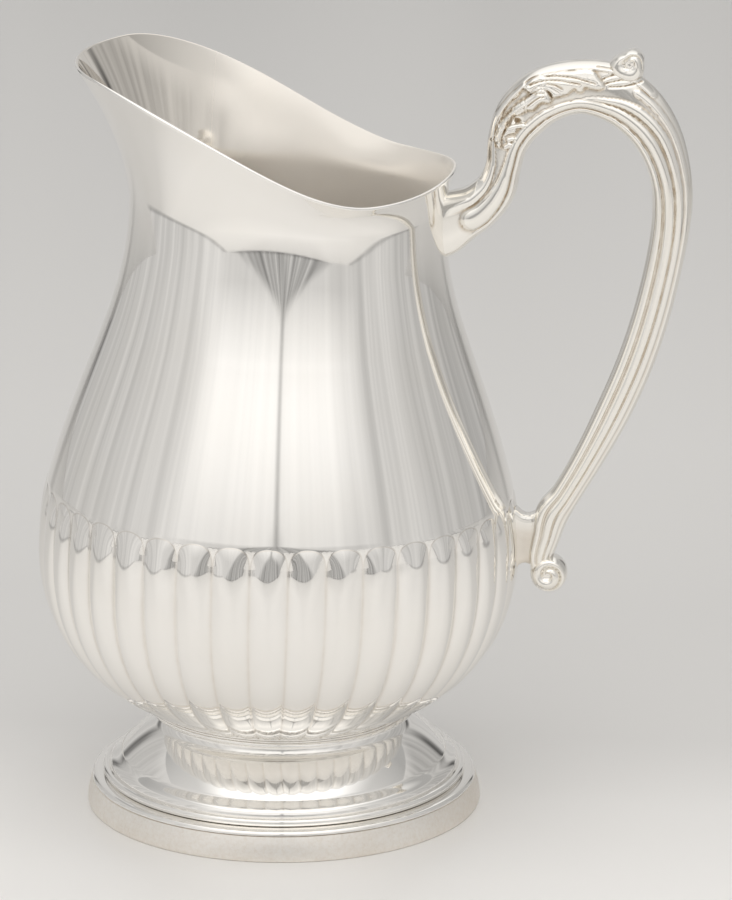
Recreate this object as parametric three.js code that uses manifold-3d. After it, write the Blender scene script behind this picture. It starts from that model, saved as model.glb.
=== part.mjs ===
// A footed water pitcher in silver plate, taken apart as a silversmith's bench would see it:
// a heavy foot band, a spun pedestal, a reeded waist ring, a lobed bowl, a drawn upper body with
// a broad pouring lip, a hollow handle soldered from two halves, and a strut under the handle.
// Millimetres, +Z up, handle towards +X, lip towards -X. The body leans a little on its foot.

import * as THREE from 'three';
import { mergeVertices } from 'three/addons/utils/BufferGeometryUtils.js';
import Module from 'manifold-3d';

// Sheet metal and fits
const SHEET = 1.0; // wall of the bowl, upper body and pedestal
const SOLDER_GAP = 0.3; // room for solder between curved faces
const ROUND_STEPS = 56; // facets round the turned pieces

// Foot band and pedestal, from the table up
const FOOT_RADIUS = 60;
const BAND_HEIGHT = 7.8; // satin face of the band
const BAND_TAPER = 1.5; // how far that face draws in towards its top
const BAND_SHOULDER = 1.4; // rounding above that face
const BAND_WIDTH = 8.2; // across the band's foot
const BEAD_INSET = 1.8; // flat ledge between the band's shoulder and the bead
const BEAD_RADIUS = 1.25;
const DOME_INSET = 0.85; // from the bead's middle in to the foot of the round dome
const DOME_WIDTH = 4.45; // from the bead's middle in to the dome's top
const DOME_RISE = 3.9; // from the bead's top up to the dome's top
const SLOPE_RISE = 9; // the pedestal's cone, from the dome's top to the stem's foot
const STEM_RADIUS = 37.4; // narrowest place under the waist ring
const STEM_FOOT_REACH = 2.1; // how far the stem's foot reaches out past that
const STEM_RISE = 3.2; // from its foot up to the narrowest place
const STEM_FLARE_RISE = 1; // from there out to the collar under the ring

// Waist ring
const WAIST_RADIUS = 40.4;
const RING_WIDTH = 3.2;
const RING_REED = 0.5; // radius of each of its two reeds

// Bowl
const LOBE_COUNT = 40;
const LOBE_DEPTH = 1.7;
const LOBE_STEPS = 6; // facets across one lobe
const BELLY_RADIUS = 72.7; // over the lobes
const BELLY_RISE = 48.9; // from the waist up to the widest place
const BOWL_FOOT_SLOPE = 0.45; // rise for each millimetre outwards, at the waist
const BOWL_FLARE = 21; // how far the bowl keeps that slope above the waist
const BOWL_CHEEK = 24; // how far it stays upright below the widest place
const DOME_BASE_RISE = 13.2; // from the widest place up to where the lobes' round ends start
const VALLEY_END = 0.4; // how far the valleys run on above that
const COLLAR_RISE = 1.4; // plain collar above the lobes
const BOTTOM_SAG = 5.2; // how far the bowl's bottom dips into the pedestal

// Upper body and lip
const COLLAR_INSET = 2.75; // how far the collar lies inside the belly
const NECK_RADIUS = 47;
const NECK_RISE = 85; // from the bowl's collar to the narrowest place
const SHOULDER_FALL = 10.3; // how far the wall draws in over the shoulder's run
const SHOULDER_RUN = 38;
const NECK_RUN = 30; // upright stretch below the narrowest place
const LIP_BACK_REACH = 48.6; // from the axis to the edge, by the handle
const LIP_SIDE_REACH = 52.8;
const LIP_TIP_REACH = 63.6;
const LIP_LOW_RISE = 9.3; // edge over the narrowest place, at its lowest
const LIP_BACK_RISE = 12.7;
const LIP_TIP_RISE = 40.8;
const LIP_CURL = 1.7; // 1 is a straight flare, more curls the edge outwards
const LIP_LOW_TURN = 55; // degrees round from the handle to the edge's lowest place
const LIP_SIDE_TURN = 90;
const LIP_SPREAD_TURN = 80; // from here on the edge spreads out to the tip
const LIP_TIP_TURN = 150; // from here to the tip the edge runs level

// Handle, on the plane y = 0
const HANDLE_UNIT = 1; // length of one unit in the handle's stations further down
const HANDLE_DEPTH_AT_NECK = 12.6; // from side to side
const HANDLE_DEPTH_AT_TAIL = 8.6;
const HANDLE_WALL = 1.6;
const HOLLOW_START = 0.06; // shares of the handle's length between which it is hollow
const HOLLOW_END = 0.9;
const UPPER_JOINT_DROP = 4; // from the narrowest place down to the middle of the handle's end
const STRUT_DROP_FROM_COLLAR = 14.2; // from the bowl's collar down to the middle of the strut
const STRUT_LENGTH = 3.8;
const STRUT_BITE = 3.4; // how far it runs into the handle before it is cut to fit
const STRUT_HEIGHT = 15.2;
const STRUT_WIDTH = 6.4; // narrower than the handle, so that it ends in the inner reed
const STRUT_WAIST = 1.4; // how far its ends are hollowed
const THUMB_RADIUS = 3.5;
const THUMB_WIDTH = 8.4;
const TAIL_RADIUS = 5.7;
const TAIL_WIDTH = 9;
const HANDLE_STEPS = 42;
const SCROLL_STEPS = 20;

// The body was soldered a little askew: it leans towards the handle about a point on its axis
const LEAN_DEGREES = 1.7;
const LEAN_CENTRE_HEIGHT = 120;

// Heights that follow from the sizes above
const pedestalFoot = BAND_HEIGHT + BAND_SHOULDER;
const stemHeight = pedestalFoot + 2 * BEAD_RADIUS + DOME_RISE + SLOPE_RISE + STEM_RISE;
const waistHeight = stemHeight + STEM_FLARE_RISE;
const ringTop = waistHeight + 4 * RING_REED;
const bowlFootRadius = WAIST_RADIUS + RING_REED;
const leanAngle = THREE.MathUtils.degToRad(LEAN_DEGREES);
const leanSwing = BOWL_FOOT_SLOPE * (LEAN_CENTRE_HEIGHT - ringTop) - WAIST_RADIUS;
const leanDrop = Math.abs(leanSwing * Math.sin(leanAngle));
const seatGap = leanDrop + 1.2 * SOLDER_GAP;
const bowlFoot = ringTop + 2 * RING_REED * BOWL_FOOT_SLOPE + seatGap;
const bellyHeight = bowlFoot + BELLY_RISE;
const domeBase = bellyHeight + DOME_BASE_RISE;
const collarRadius = BELLY_RADIUS - COLLAR_INSET;
const lobeHalfWidth = (Math.PI * collarRadius) / LOBE_COUNT;
const collarHeight = domeBase + lobeHalfWidth + VALLEY_END + COLLAR_RISE;
const neckHeight = collarHeight + NECK_RISE;

const { Manifold, Mesh: SolidMesh } = await loadSolids();

async function loadSolids() {
  const wasm = await Module();
  wasm.setup();
  return wasm;
}

const point = (x, y, z) => new THREE.Vector3(x, y, z);
const around = (radius, angle, z) => point(radius * Math.cos(angle), radius * Math.sin(angle), z);

function asSolid(geometry) {
  const bare = geometry.clone();
  bare.deleteAttribute('normal');
  bare.deleteAttribute('uv');
  const merged = mergeVertices(bare, 1e-3);
  const corners = merged.index.array;
  const kept = [];
  for (let i = 0; i < corners.length; i += 3) {
    const [a, b, c] = corners.slice(i, i + 3);
    if (a !== b && b !== c && c !== a) kept.push(a, b, c);
  }
  const vertProperties = new Float32Array(merged.attributes.position.array);
  return new Manifold(new SolidMesh({ numProp: 3, vertProperties, triVerts: new Uint32Array(kept) }));
}

function asGeometry(solid) {
  const { vertProperties, triVerts } = solid.getMesh();
  return meshGeometry(vertProperties, triVerts);
}

function meshGeometry(positions, corners) {
  const geometry = new THREE.BufferGeometry();
  geometry.setAttribute('position', new THREE.Float32BufferAttribute(positions, 3));
  geometry.setIndex([...corners]);
  const merged = mergeVertices(geometry, 1e-3);
  merged.computeVertexNormals();
  return merged;
}

// A closed skin over a stack of rings with equal counts, capped at both ends by a fan.
function stackedRings(rings) {
  const count = rings[0].length;
  const vertices = rings.flat();
  const corners = [];
  rings.slice(1).forEach((ring, k) => {
    ring.forEach((_, i) => {
      const a = k * count + i;
      const b = k * count + ((i + 1) % count);
      corners.push(a, b, b + count, a, b + count, a + count);
    });
  });
  for (const [k, turn] of [[0, 1], [rings.length - 1, 0]]) {
    const middle = rings[k].reduce((sum, p) => sum.add(p), point(0, 0, 0)).divideScalar(count);
    vertices.push(middle);
    rings[k].forEach((_, i) => {
      const a = k * count + ((i + turn) % count);
      const b = k * count + ((i + 1 - turn) % count);
      corners.push(a, b, vertices.length - 1);
    });
  }
  return meshGeometry(vertices.flatMap((p) => p.toArray()), corners);
}

// A closed wall whose section, a closed loop of points, changes as it goes round the axis.
function wallAround(sections) {
  const count = sections[0].length;
  const corners = [];
  sections.forEach((section, k) => {
    const next = (k + 1) % sections.length;
    section.forEach((_, i) => {
      const j = (i + 1) % count;
      corners.push(k * count + i, next * count + i, next * count + j);
      corners.push(k * count + i, next * count + j, k * count + j);
    });
  });
  return meshGeometry(sections.flat().flatMap((p) => p.toArray()), corners);
}

// A turned solid from a profile of (radius, height) points that runs anticlockwise.
function turned(profile) {
  const closed = [...profile, profile[0].clone()];
  return new THREE.LatheGeometry(closed, ROUND_STEPS).rotateX(Math.PI / 2);
}

function footBand() {
  const shoulder = FOOT_RADIUS - BAND_TAPER;
  const profile = new THREE.Path();
  profile.moveTo(FOOT_RADIUS - BAND_WIDTH, 0);
  profile.lineTo(FOOT_RADIUS, 0);
  profile.quadraticCurveTo(FOOT_RADIUS, BAND_HEIGHT / 2, shoulder, BAND_HEIGHT);
  profile.absarc(shoulder - BAND_SHOULDER, BAND_HEIGHT, BAND_SHOULDER, 0, Math.PI / 2);
  profile.lineTo(FOOT_RADIUS - BAND_WIDTH, pedestalFoot);
  return asGeometry(asSolid(turned(profile.getPoints(3))));
}

function pedestal() {
  const bead = FOOT_RADIUS - BAND_TAPER - BAND_SHOULDER - BEAD_INSET - BEAD_RADIUS;
  const beadTop = pedestalFoot + 2 * BEAD_RADIUS;
  const domeFoot = bead - DOME_INSET;
  const crease = { r: bead - DOME_WIDTH, z: beadTop + DOME_RISE }; // between the dome and the cone
  const stemFoot = { r: STEM_RADIUS + STEM_FOOT_REACH, z: crease.z + SLOPE_RISE };
  const collar = WAIST_RADIUS - 2 * RING_REED;
  const pitch = SLOPE_RISE / (crease.r - stemFoot.r);
  const domeSide = beadTop + 0.5 * DOME_RISE;
  const over = { r: 0.5 * (domeFoot - crease.r), z: 0.35 * DOME_RISE }; // the dome's rounding
  const flare = stemHeight + 0.7 * STEM_FLARE_RISE;
  const profile = new THREE.Path();
  profile.moveTo(domeFoot - SHEET, pedestalFoot);
  profile.lineTo(bead, pedestalFoot);
  profile.absarc(bead, pedestalFoot + BEAD_RADIUS, BEAD_RADIUS, -Math.PI / 2, Math.PI / 2);
  profile.lineTo(domeFoot, beadTop);
  profile.bezierCurveTo(domeFoot, domeSide, crease.r + over.r, crease.z - over.z, crease.r, crease.z);
  profile.lineTo(stemFoot.r, stemFoot.z);
  const turn = stemFoot.z + STEM_FOOT_REACH * pitch;
  profile.quadraticCurveTo(STEM_RADIUS, turn, STEM_RADIUS, stemHeight);
  profile.quadraticCurveTo(STEM_RADIUS, flare, collar, waistHeight);
  // The inside of the sheet, back down
  const inStem = STEM_RADIUS - SHEET;
  const thin = { r: 0.66 * SHEET, z: 0.75 * SHEET }; // across the cone's sheet
  const [topR, topZ, footR, footZ] = [
    crease.r - thin.r, crease.z - thin.z, stemFoot.r - thin.r, stemFoot.z - thin.z,
  ];
  profile.lineTo(collar - SHEET, waistHeight);
  profile.quadraticCurveTo(inStem, flare, inStem, stemHeight);
  profile.quadraticCurveTo(inStem, footZ + (footR - inStem) * pitch, footR, footZ);
  profile.lineTo(topR, topZ);
  const wall = domeFoot - SHEET;
  profile.bezierCurveTo(topR + over.r, topZ - over.z, wall, beadTop + 0.3 * DOME_RISE, wall, beadTop);
  return asGeometry(asSolid(turned(profile.getPoints(4))));
}

function waistRing() {
  const reedCentre = WAIST_RADIUS - RING_REED;
  const inner = WAIST_RADIUS - RING_WIDTH;
  const profile = new THREE.Path();
  profile.moveTo(inner, waistHeight);
  profile.lineTo(reedCentre, waistHeight);
  profile.absarc(reedCentre, waistHeight + RING_REED, RING_REED, -Math.PI / 2, Math.PI / 2);
  profile.absarc(reedCentre, waistHeight + 3 * RING_REED, RING_REED, -Math.PI / 2, Math.PI / 2);
  profile.lineTo(inner, ringTop - (reedCentre - inner) * BOWL_FOOT_SLOPE);
  return asGeometry(asSolid(turned(profile.getPoints(2))));
}

// The bowl's profile over the lobes' crests, from the waist up to the start of their round ends.
function crestProfile() {
  const foot = new THREE.Vector2(bowlFootRadius, bowlFoot);
  const slope = Math.atan(BOWL_FOOT_SLOPE);
  const cheek = new THREE.CubicBezierCurve(
    foot,
    new THREE.Vector2(foot.x + BOWL_FLARE * Math.cos(slope), foot.y + BOWL_FLARE * Math.sin(slope)),
    new THREE.Vector2(BELLY_RADIUS, bellyHeight - BOWL_CHEEK),
    new THREE.Vector2(BELLY_RADIUS, bellyHeight),
  );
  const shoulder = new THREE.QuadraticBezierCurve(
    new THREE.Vector2(BELLY_RADIUS, bellyHeight),
    new THREE.Vector2(BELLY_RADIUS, (bellyHeight + domeBase) / 2),
    new THREE.Vector2(collarRadius + LOBE_DEPTH, domeBase),
  );
  return [...cheek.getPoints(5), ...shoulder.getPoints(1).slice(1)];
}

const lobeDepthAt = (radius) => (LOBE_DEPTH * radius) / BELLY_RADIUS;

// Rings of the lobed skin. Across a lobe, side runs from -1 in one valley to 1 in the next.
function lobedRings(growth) {
  const columns = LOBE_COUNT * LOBE_STEPS;
  const angles = Array.from({ length: columns }, (_, i) => (2 * Math.PI * i) / columns);
  const sides = angles.map((_, i) => (2 * (i % LOBE_STEPS)) / LOBE_STEPS - 1);
  const ringOf = (place) => angles.map((angle, i) => around(...place(sides[i], angle)));
  const fluted = crestProfile().map((crest) => ringOf((side, angle) => {
    const radius = crest.x - lobeDepthAt(crest.x) * side * side;
    return [radius + growth, angle, crest.y];
  }));
  const domed = [0.6, 1].map((share) => ringOf((side, angle) => {
    const top = lobeHalfWidth * Math.sqrt(1 - side * side) + VALLEY_END;
    const bulge = LOBE_DEPTH * (1 - side * side) * (1 - share * share);
    return [collarRadius + bulge + growth, angle, domeBase + share * top];
  }));
  const collar = ringOf((_, angle) => [collarRadius + growth, angle, collarHeight]);
  return [...fluted, ...domed, collar];
}

function bowl() {
  const core = crestProfile().map((crest) => {
    return new THREE.Vector2(crest.x - lobeDepthAt(crest.x) - SHEET, crest.y);
  });
  const bottom = bowlFoot - BOTTOM_SAG;
  const underside = (radius) => bowlFoot - (bowlFootRadius - radius) * BOWL_FOOT_SLOPE;
  const mouth = collarRadius - SHEET;
  const foot = WAIST_RADIUS - RING_WIDTH - SOLDER_GAP;
  const hollow = new THREE.Path();
  hollow.moveTo(0, bottom + SHEET);
  hollow.quadraticCurveTo(0.7 * core[0].x, bottom + SHEET, core[0].x, core[0].y + SHEET / 2);
  core.slice(1).forEach((p) => hollow.lineTo(p.x, p.y));
  hollow.lineTo(mouth, collarHeight + SHEET);
  hollow.lineTo(0, collarHeight + SHEET);
  const dish = new THREE.Path();
  dish.moveTo(0, bottom);
  dish.quadraticCurveTo(0.85 * foot, bottom, foot, underside(foot));
  dish.lineTo(core[0].x + SHEET, underside(core[0].x + SHEET));
  dish.lineTo(core[0].x + SHEET, bowlFoot);
  dish.lineTo(core[1].x, core[1].y);
  dish.lineTo(0, core[1].y);
  const skin = asSolid(stackedRings(lobedRings(0)));
  const filled = skin.add(asSolid(turned(dish.getPoints(5))));
  return asGeometry(filled.subtract(asSolid(turned(hollow.getPoints(5)))));
}

// The upper body's outer face: up the shoulder to the neck, then out to the edge of the lip.
function shoulderProfile() {
  return new THREE.CubicBezierCurve(
    new THREE.Vector2(collarRadius, collarHeight),
    new THREE.Vector2(collarRadius - SHOULDER_FALL, collarHeight + SHOULDER_RUN),
    new THREE.Vector2(NECK_RADIUS, neckHeight - NECK_RUN),
    new THREE.Vector2(NECK_RADIUS, neckHeight),
  );
}

const { smoothstep, lerp } = THREE.MathUtils;

// Where the edge of the lip lies. The turn is counted in degrees from the handle to the tip.
function lipEdge(turn) {
  const sideReach = lerp(LIP_BACK_REACH, LIP_SIDE_REACH, smoothstep(turn, 0, LIP_SIDE_TURN));
  const tipReach = (LIP_TIP_REACH - LIP_SIDE_REACH) * smoothstep(turn, LIP_SPREAD_TURN, LIP_TIP_TURN);
  const rise = lerp(LIP_LOW_RISE, LIP_TIP_RISE, smoothstep(turn, LIP_LOW_TURN, LIP_TIP_TURN));
  const backRise = (LIP_BACK_RISE - LIP_LOW_RISE) * (1 - smoothstep(turn, 0, LIP_LOW_TURN));
  return new THREE.Vector2(sideReach + tipReach, neckHeight + rise + backRise);
}

function upperFace(angle, growth) {
  const turn = THREE.MathUtils.radToDeg(Math.abs(Math.atan2(Math.sin(angle), Math.cos(angle))));
  const edge = lipEdge(turn);
  const shoulder = shoulderProfile().getPoints(6);
  const flare = [0.4, 0.7, 1].map((share) => {
    const reach = lerp(NECK_RADIUS, edge.x, share ** LIP_CURL);
    return new THREE.Vector2(reach, lerp(neckHeight, edge.y, share));
  });
  return [...shoulder, ...flare].map((p) => around(p.x + growth, angle, p.y));
}

function roundTheAxis(make) {
  return Array.from({ length: ROUND_STEPS }, (_, i) => make((2 * Math.PI * i) / ROUND_STEPS));
}

function upperBody() {
  return wallAround(roundTheAxis((angle) => {
    const inside = upperFace(angle, -SHEET).reverse();
    return [...upperFace(angle, 0), ...inside];
  }));
}

// The same outer face as one filled solid, a little larger, to cut the handle's end to fit.
function upperBodyFilled(growth) {
  const sections = roundTheAxis((angle) => upperFace(angle, growth));
  const rings = sections[0].map((_, row) => sections.map((section) => section[row]));
  return asSolid(stackedRings(rings));
}

// The handle's middle line. The upper stations are counted from its end on the neck, the lower
// ones from the strut's outer end: outwards, upwards, then the handle's width there.
const UPPER_STATIONS = [
  [-3.8, -2, 17.6],
  [0.6, -0.4, 16.6],
  [5.6, 2, 13],
  [11, 5.6, 11.2],
  [15.4, 11.6, 10.6],
  [17, 19, 10],
  [18, 26.8, 12.6],
  [21.6, 34.4, 15.8],
  [28, 40.4, 16.4],
  [37.6, 43.5, 15.8],
  [47.6, 42.4, 17],
  [55.4, 37.6, 16.2],
  [61.6, 29.8, 14.2],
  [65.6, 19.4, 12.4],
  [66.8, 8.5, 11.8],
  [65.6, -5, 11.2],
];
const LOWER_STATIONS = [
  [33, 72.8, 11.1],
  [28.5, 56.4, 11],
  [22.6, 40.8, 10.6],
  [16.2, 26.8, 9.4],
  [9.8, 14.6, 8.9],
  [5.9, 8.2, 10.2],
  [4.3, 1.4, 8.8],
  [2.9, -5, 7.6],
  [3.4, -9.5, 6],
];
const THUMB_FROM_JOINT = [53.2, 52.2];
const TAIL_FROM_STRUT = [5.5, -10.5];

// Half the handle's section: across its width from the inner edge, then out to one side.
// Three reeds run along each side with a channel between them.
const REEDED_SIDE = [
  [-0.5, 0.14],
  [-0.44, 0.38],
  [-0.33, 0.44],
  [-0.22, 0.35],
  [-0.08, 0.45],
  [0.06, 0.45],
  [0.18, 0.37],
  [0.32, 0.5],
  [0.44, 0.4],
  [0.5, 0.16],
];
const PLAIN_SIDE = [
  [-0.5, 0.3],
  [-0.3, 0.5],
  [0.3, 0.5],
  [0.5, 0.3],
];

const upperJoint = { x: NECK_RADIUS, z: neckHeight - UPPER_JOINT_DROP };
const strutSeat = { x: BELLY_RADIUS, z: collarHeight - STRUT_DROP_FROM_COLLAR };
const lowerJoint = { x: strutSeat.x + STRUT_LENGTH, z: strutSeat.z };
const away = (from, [x, z]) => point(from.x + HANDLE_UNIT * x, 0, from.z + HANDLE_UNIT * z);
const fromJoint = (station) => away(upperJoint, station);
const fromStrut = (station) => away(lowerJoint, station);

function handleRings(halfSection, wall, from, to) {
  const middle = [...UPPER_STATIONS.map(fromJoint), ...LOWER_STATIONS.map(fromStrut)];
  const line = new THREE.CatmullRomCurve3(middle);
  const stations = [...UPPER_STATIONS, ...LOWER_STATIONS];
  const widths = new THREE.SplineCurve(stations.map(([, , width], i) => new THREE.Vector2(i, width)));
  const section = [...halfSection, ...halfSection.map(([u, v]) => [u, -v]).reverse()];
  return Array.from({ length: HANDLE_STEPS + 1 }, (_, k) => {
    const share = lerp(from, to, k / HANDLE_STEPS);
    const centre = line.getPoint(share);
    const along = line.getTangent(share);
    const outward = point(-along.z, 0, along.x);
    const width = HANDLE_UNIT * widths.getPoint(share).y - 2 * wall;
    const depth = lerp(HANDLE_DEPTH_AT_NECK, HANDLE_DEPTH_AT_TAIL, share) - 2 * wall;
    return section.map(([u, v]) => {
      const side = point(0, v * depth, 0);
      return centre.clone().addScaledVector(outward, u * width).add(side);
    });
  });
}

// A disc that stands for a rolled-up end, across the handle's middle plane.
function scroll(centre, radius, width) {
  const disc = new THREE.CylinderGeometry(radius, radius, width, SCROLL_STEPS);
  return asSolid(disc.translate(...centre.toArray()));
}

function handleOutside(growth) {
  const bar = asSolid(stackedRings(handleRings(REEDED_SIDE, -growth, 0, 1)));
  const thumb = scroll(fromJoint(THUMB_FROM_JOINT), THUMB_RADIUS + growth, THUMB_WIDTH + 2 * growth);
  const tail = scroll(fromStrut(TAIL_FROM_STRUT), TAIL_RADIUS + growth, TAIL_WIDTH + 2 * growth);
  return bar.add(thumb).add(tail);
}

function handleHalves() {
  const hollow = asSolid(stackedRings(handleRings(PLAIN_SIDE, HANDLE_WALL, HOLLOW_START, HOLLOW_END)));
  const whole = handleOutside(0).subtract(hollow).subtract(upperBodyFilled(SOLDER_GAP));
  const size = 4 * (NECK_RADIUS + BELLY_RADIUS);
  const side = new THREE.BoxGeometry(size, size, size).translate(0, size / 2, neckHeight / 2);
  const farSide = asSolid(side);
  const nearSide = asSolid(side.clone().rotateZ(Math.PI));
  return { near: asGeometry(whole.intersect(nearSide)), far: asGeometry(whole.intersect(farSide)) };
}

function strut() {
  const half = STRUT_HEIGHT / 2;
  const inner = -LOBE_DEPTH - SHEET;
  const outer = STRUT_LENGTH + STRUT_BITE;
  const face = new THREE.Shape();
  face.moveTo(inner, -half);
  face.quadraticCurveTo((inner + outer) / 2, -half + 2 * STRUT_WAIST, outer, -half);
  face.lineTo(outer, half);
  face.quadraticCurveTo((inner + outer) / 2, half - 2 * STRUT_WAIST, inner, half);
  const along = { depth: STRUT_WIDTH, bevelEnabled: false, curveSegments: 6 };
  const block = new THREE.ExtrudeGeometry(face, along);
  block.translate(0, 0, -STRUT_WIDTH / 2).rotateX(Math.PI / 2).translate(strutSeat.x, 0, strutSeat.z);
  const bowlWithRoom = asSolid(stackedRings(lobedRings(SOLDER_GAP)));
  return asGeometry(asSolid(block).subtract(bowlWithRoom).subtract(handleOutside(SOLDER_GAP)));
}

const brightSilver = { color: 0xe6e3dd, metalness: 1, roughness: 0.08 };
const satinSilver = { color: 0xd2cabf, metalness: 1, roughness: 0.32 };
const tarnishedSilver = { color: 0xdcd3c4, metalness: 1, roughness: 0.16 };

function piece(name, geometry, finish) {
  const mesh = new THREE.Mesh(geometry, new THREE.MeshStandardMaterial(finish));
  mesh.name = name;
  return mesh;
}

const handle = handleHalves();
const upright = new THREE.Group();
upright.position.z = -LEAN_CENTRE_HEIGHT;
upright.add(
  piece('lower_bowl', bowl(), brightSilver),
  piece('upper_body', upperBody(), brightSilver),
  piece('handle_near_half', handle.near, tarnishedSilver),
  piece('handle_far_half', handle.far, tarnishedSilver),
  piece('lower_strut', strut(), tarnishedSilver),
);
const leaning = new THREE.Group();
leaning.position.z = LEAN_CENTRE_HEIGHT;
leaning.rotation.y = leanAngle;
leaning.add(upright);

const pitcher = new THREE.Group();
pitcher.add(
  leaning,
  piece('foot_band', footBand(), satinSilver),
  piece('pedestal', pedestal(), brightSilver),
  piece('waist_ring', waistRing(), brightSilver),
);

// The middle of the pitcher's outline stands over the origin.
pitcher.updateMatrixWorld(true);
const outline = new THREE.Box3().setFromObject(pitcher, true);
pitcher.position.x = -(outline.min.x + outline.max.x) / 2;

export default pitcher;
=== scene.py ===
# %% [markdown]
# # A silver-plated water pitcher
# The pitcher is spun and stamped from thin sheet, and its handle is soldered from two hollow halves.
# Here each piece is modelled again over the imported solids, in metres and in their frame, with the detail
# that the solids leave out: smooth curves, full lobes, reeds, the leaf and the rolled ends.

# %% Load the solids
import math

import bmesh
import bpy
import numpy as np
from mathutils import Matrix, Vector


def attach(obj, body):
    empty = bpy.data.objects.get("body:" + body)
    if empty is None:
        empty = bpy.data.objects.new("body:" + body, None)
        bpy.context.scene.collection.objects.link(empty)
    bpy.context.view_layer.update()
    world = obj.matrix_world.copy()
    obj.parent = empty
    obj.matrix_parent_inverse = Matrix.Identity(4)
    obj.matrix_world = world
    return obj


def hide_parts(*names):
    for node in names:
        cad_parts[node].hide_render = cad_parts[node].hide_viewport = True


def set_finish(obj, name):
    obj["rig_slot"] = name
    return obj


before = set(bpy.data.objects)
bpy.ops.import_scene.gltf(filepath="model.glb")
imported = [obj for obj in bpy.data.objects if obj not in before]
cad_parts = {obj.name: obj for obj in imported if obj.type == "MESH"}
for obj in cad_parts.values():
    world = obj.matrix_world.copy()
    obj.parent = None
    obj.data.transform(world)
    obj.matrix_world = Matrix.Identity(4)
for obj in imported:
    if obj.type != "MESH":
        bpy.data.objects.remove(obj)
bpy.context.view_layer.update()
print("solids:", sorted(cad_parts))

# %% [markdown]
# ## Sizes
# All sizes are in millimetres and repeat those of the solids, so each piece lands where its solid is.
# The foot stands upright on its own axis. Everything above the waist leans a little to the handle,
# because the real body was soldered on slightly askew.

# %% Sizes of the turned pieces
MM = 0.001
AXIS_X = -24.09  # the foot's axis in the frame of the solids
SHEET = 1.0
FOOT_RADIUS, BAND_HEIGHT, BAND_TAPER, BAND_SHOULDER, BAND_WIDTH = 60.0, 7.8, 1.5, 1.4, 8.2
BEAD_INSET, BEAD_RADIUS = 1.8, 1.25
DOME_INSET, DOME_WIDTH, DOME_RISE, SLOPE_RISE = 0.85, 4.45, 3.9, 9.0
STEM_RADIUS, STEM_FOOT_REACH, STEM_RISE, STEM_FLARE_RISE = 37.4, 2.1, 3.2, 1.0
WAIST_RADIUS, RING_WIDTH, RING_REED = 40.4, 3.2, 0.5
LOBE_COUNT, LOBE_DEPTH, BELLY_RADIUS = 40, 1.7, 72.62
COLLAR_RADIUS, NECK_RADIUS = 69.95, 47.0
PEDESTAL_FOOT = BAND_HEIGHT + BAND_SHOULDER
STEM_HEIGHT = PEDESTAL_FOOT + 2 * BEAD_RADIUS + DOME_RISE + SLOPE_RISE + STEM_RISE
WAIST_HEIGHT = STEM_HEIGHT + STEM_FLARE_RISE
BOWL_FOOT_RADIUS, BOWL_FOOT, BOWL_FOOT_SLOPE = 40.9, 31.62, 0.45
BELLY_HEIGHT, DOME_BASE = 80.52, 93.72
LOBE_HALF_WIDTH = math.pi * COLLAR_RADIUS / LOBE_COUNT
COLLAR_HEIGHT, NECK_HEIGHT = 101.01, 186.01
LEAN, LEAN_CENTRE = math.radians(1.7), 120.0
print("waist at", round(WAIST_HEIGHT, 2), "neck at", NECK_HEIGHT)

# %% [markdown]
# ## Camera
# The photograph looks down at the pitcher by sixteen degrees from well back, with a long lens, so the
# foot's ellipses are shallow and the sides hardly converge.

# %% Place the camera
CAMERA_PLACE = (0.1803, -1.4334, 0.5253)  # in metres from the middle of the foot
GAZE = Vector((-0.10334, 0.95542, -0.27656))
camera_data = bpy.data.cameras.new("studio_camera")
camera_data.lens, camera_data.sensor_width, camera_data.clip_end = 200, 36, 20
camera = bpy.data.objects.new("studio_camera", camera_data)
bpy.context.scene.collection.objects.link(camera)
camera.location = (AXIS_X * MM + CAMERA_PLACE[0], CAMERA_PLACE[1], CAMERA_PLACE[2])
camera.rotation_euler = GAZE.to_track_quat("-Z", "Y").to_euler()
bpy.context.scene.camera = camera
bpy.context.scene.view_settings.view_transform = "Standard"
print("camera at", [round(v, 3) for v in camera.location])

# %% [markdown]
# ## Drawing helpers
# Most of the pitcher is turned work. A line drawn as half a section and spun about the axis gives such
# a piece in one go, so the first helpers sample curves, draw a line and spin it. A plane drawn together
# to one vertex is a handy start for a line: every extrude pulls out the next stretch of it. What can't be
# spun starts as a grid whose vertices are laid one by one.


# %% Curves as lists of points
def bezier(a, b, c, d, steps):
    """Points along a cubic curve, the first one left out."""
    points = []
    for k in range(1, steps + 1):
        t = k / steps
        s = 1 - t
        shares = (s * s * s, 3 * s * s * t, 3 * s * t * t, t * t * t)
        points.append(tuple(sum(w * p[i] for w, p in zip(shares, (a, b, c, d))) for i in (0, 1)))
    return points


def bend(a, corner, b, steps):
    """Points along a curve from a to b that rounds the corner between them, the first one left out."""
    c, d = (tuple(mix(v, w, 2 / 3) for v, w in zip(end, corner)) for end in (a, b))
    return bezier(a, c, d, b, steps)


def arc(centre, radius, start, end, steps):
    """Points along a round, from one angle in degrees to another, the first one left out."""
    turns = (math.radians(start + (end - start) * k / steps) for k in range(1, steps + 1))
    return [(centre[0] + radius * math.cos(t), centre[1] + radius * math.sin(t)) for t in turns]


def mix(a, b, share):
    return a + (b - a) * share


def ease(value, low, high):
    """0 below low, 1 above high, and a soft S between them."""
    share = min(max((value - low) / (high - low), 0), 1)
    return share * share * (3 - 2 * share)


def from_table(table, value):
    """Reads a table of (place, number) pairs between its entries."""
    for (p0, n0), (p1, n1) in zip(table, table[1:]):
        if value <= p1:
            return mix(n0, n1, min(max((value - p0) / (p1 - p0), 0), 1))
    return table[-1][1]


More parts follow.
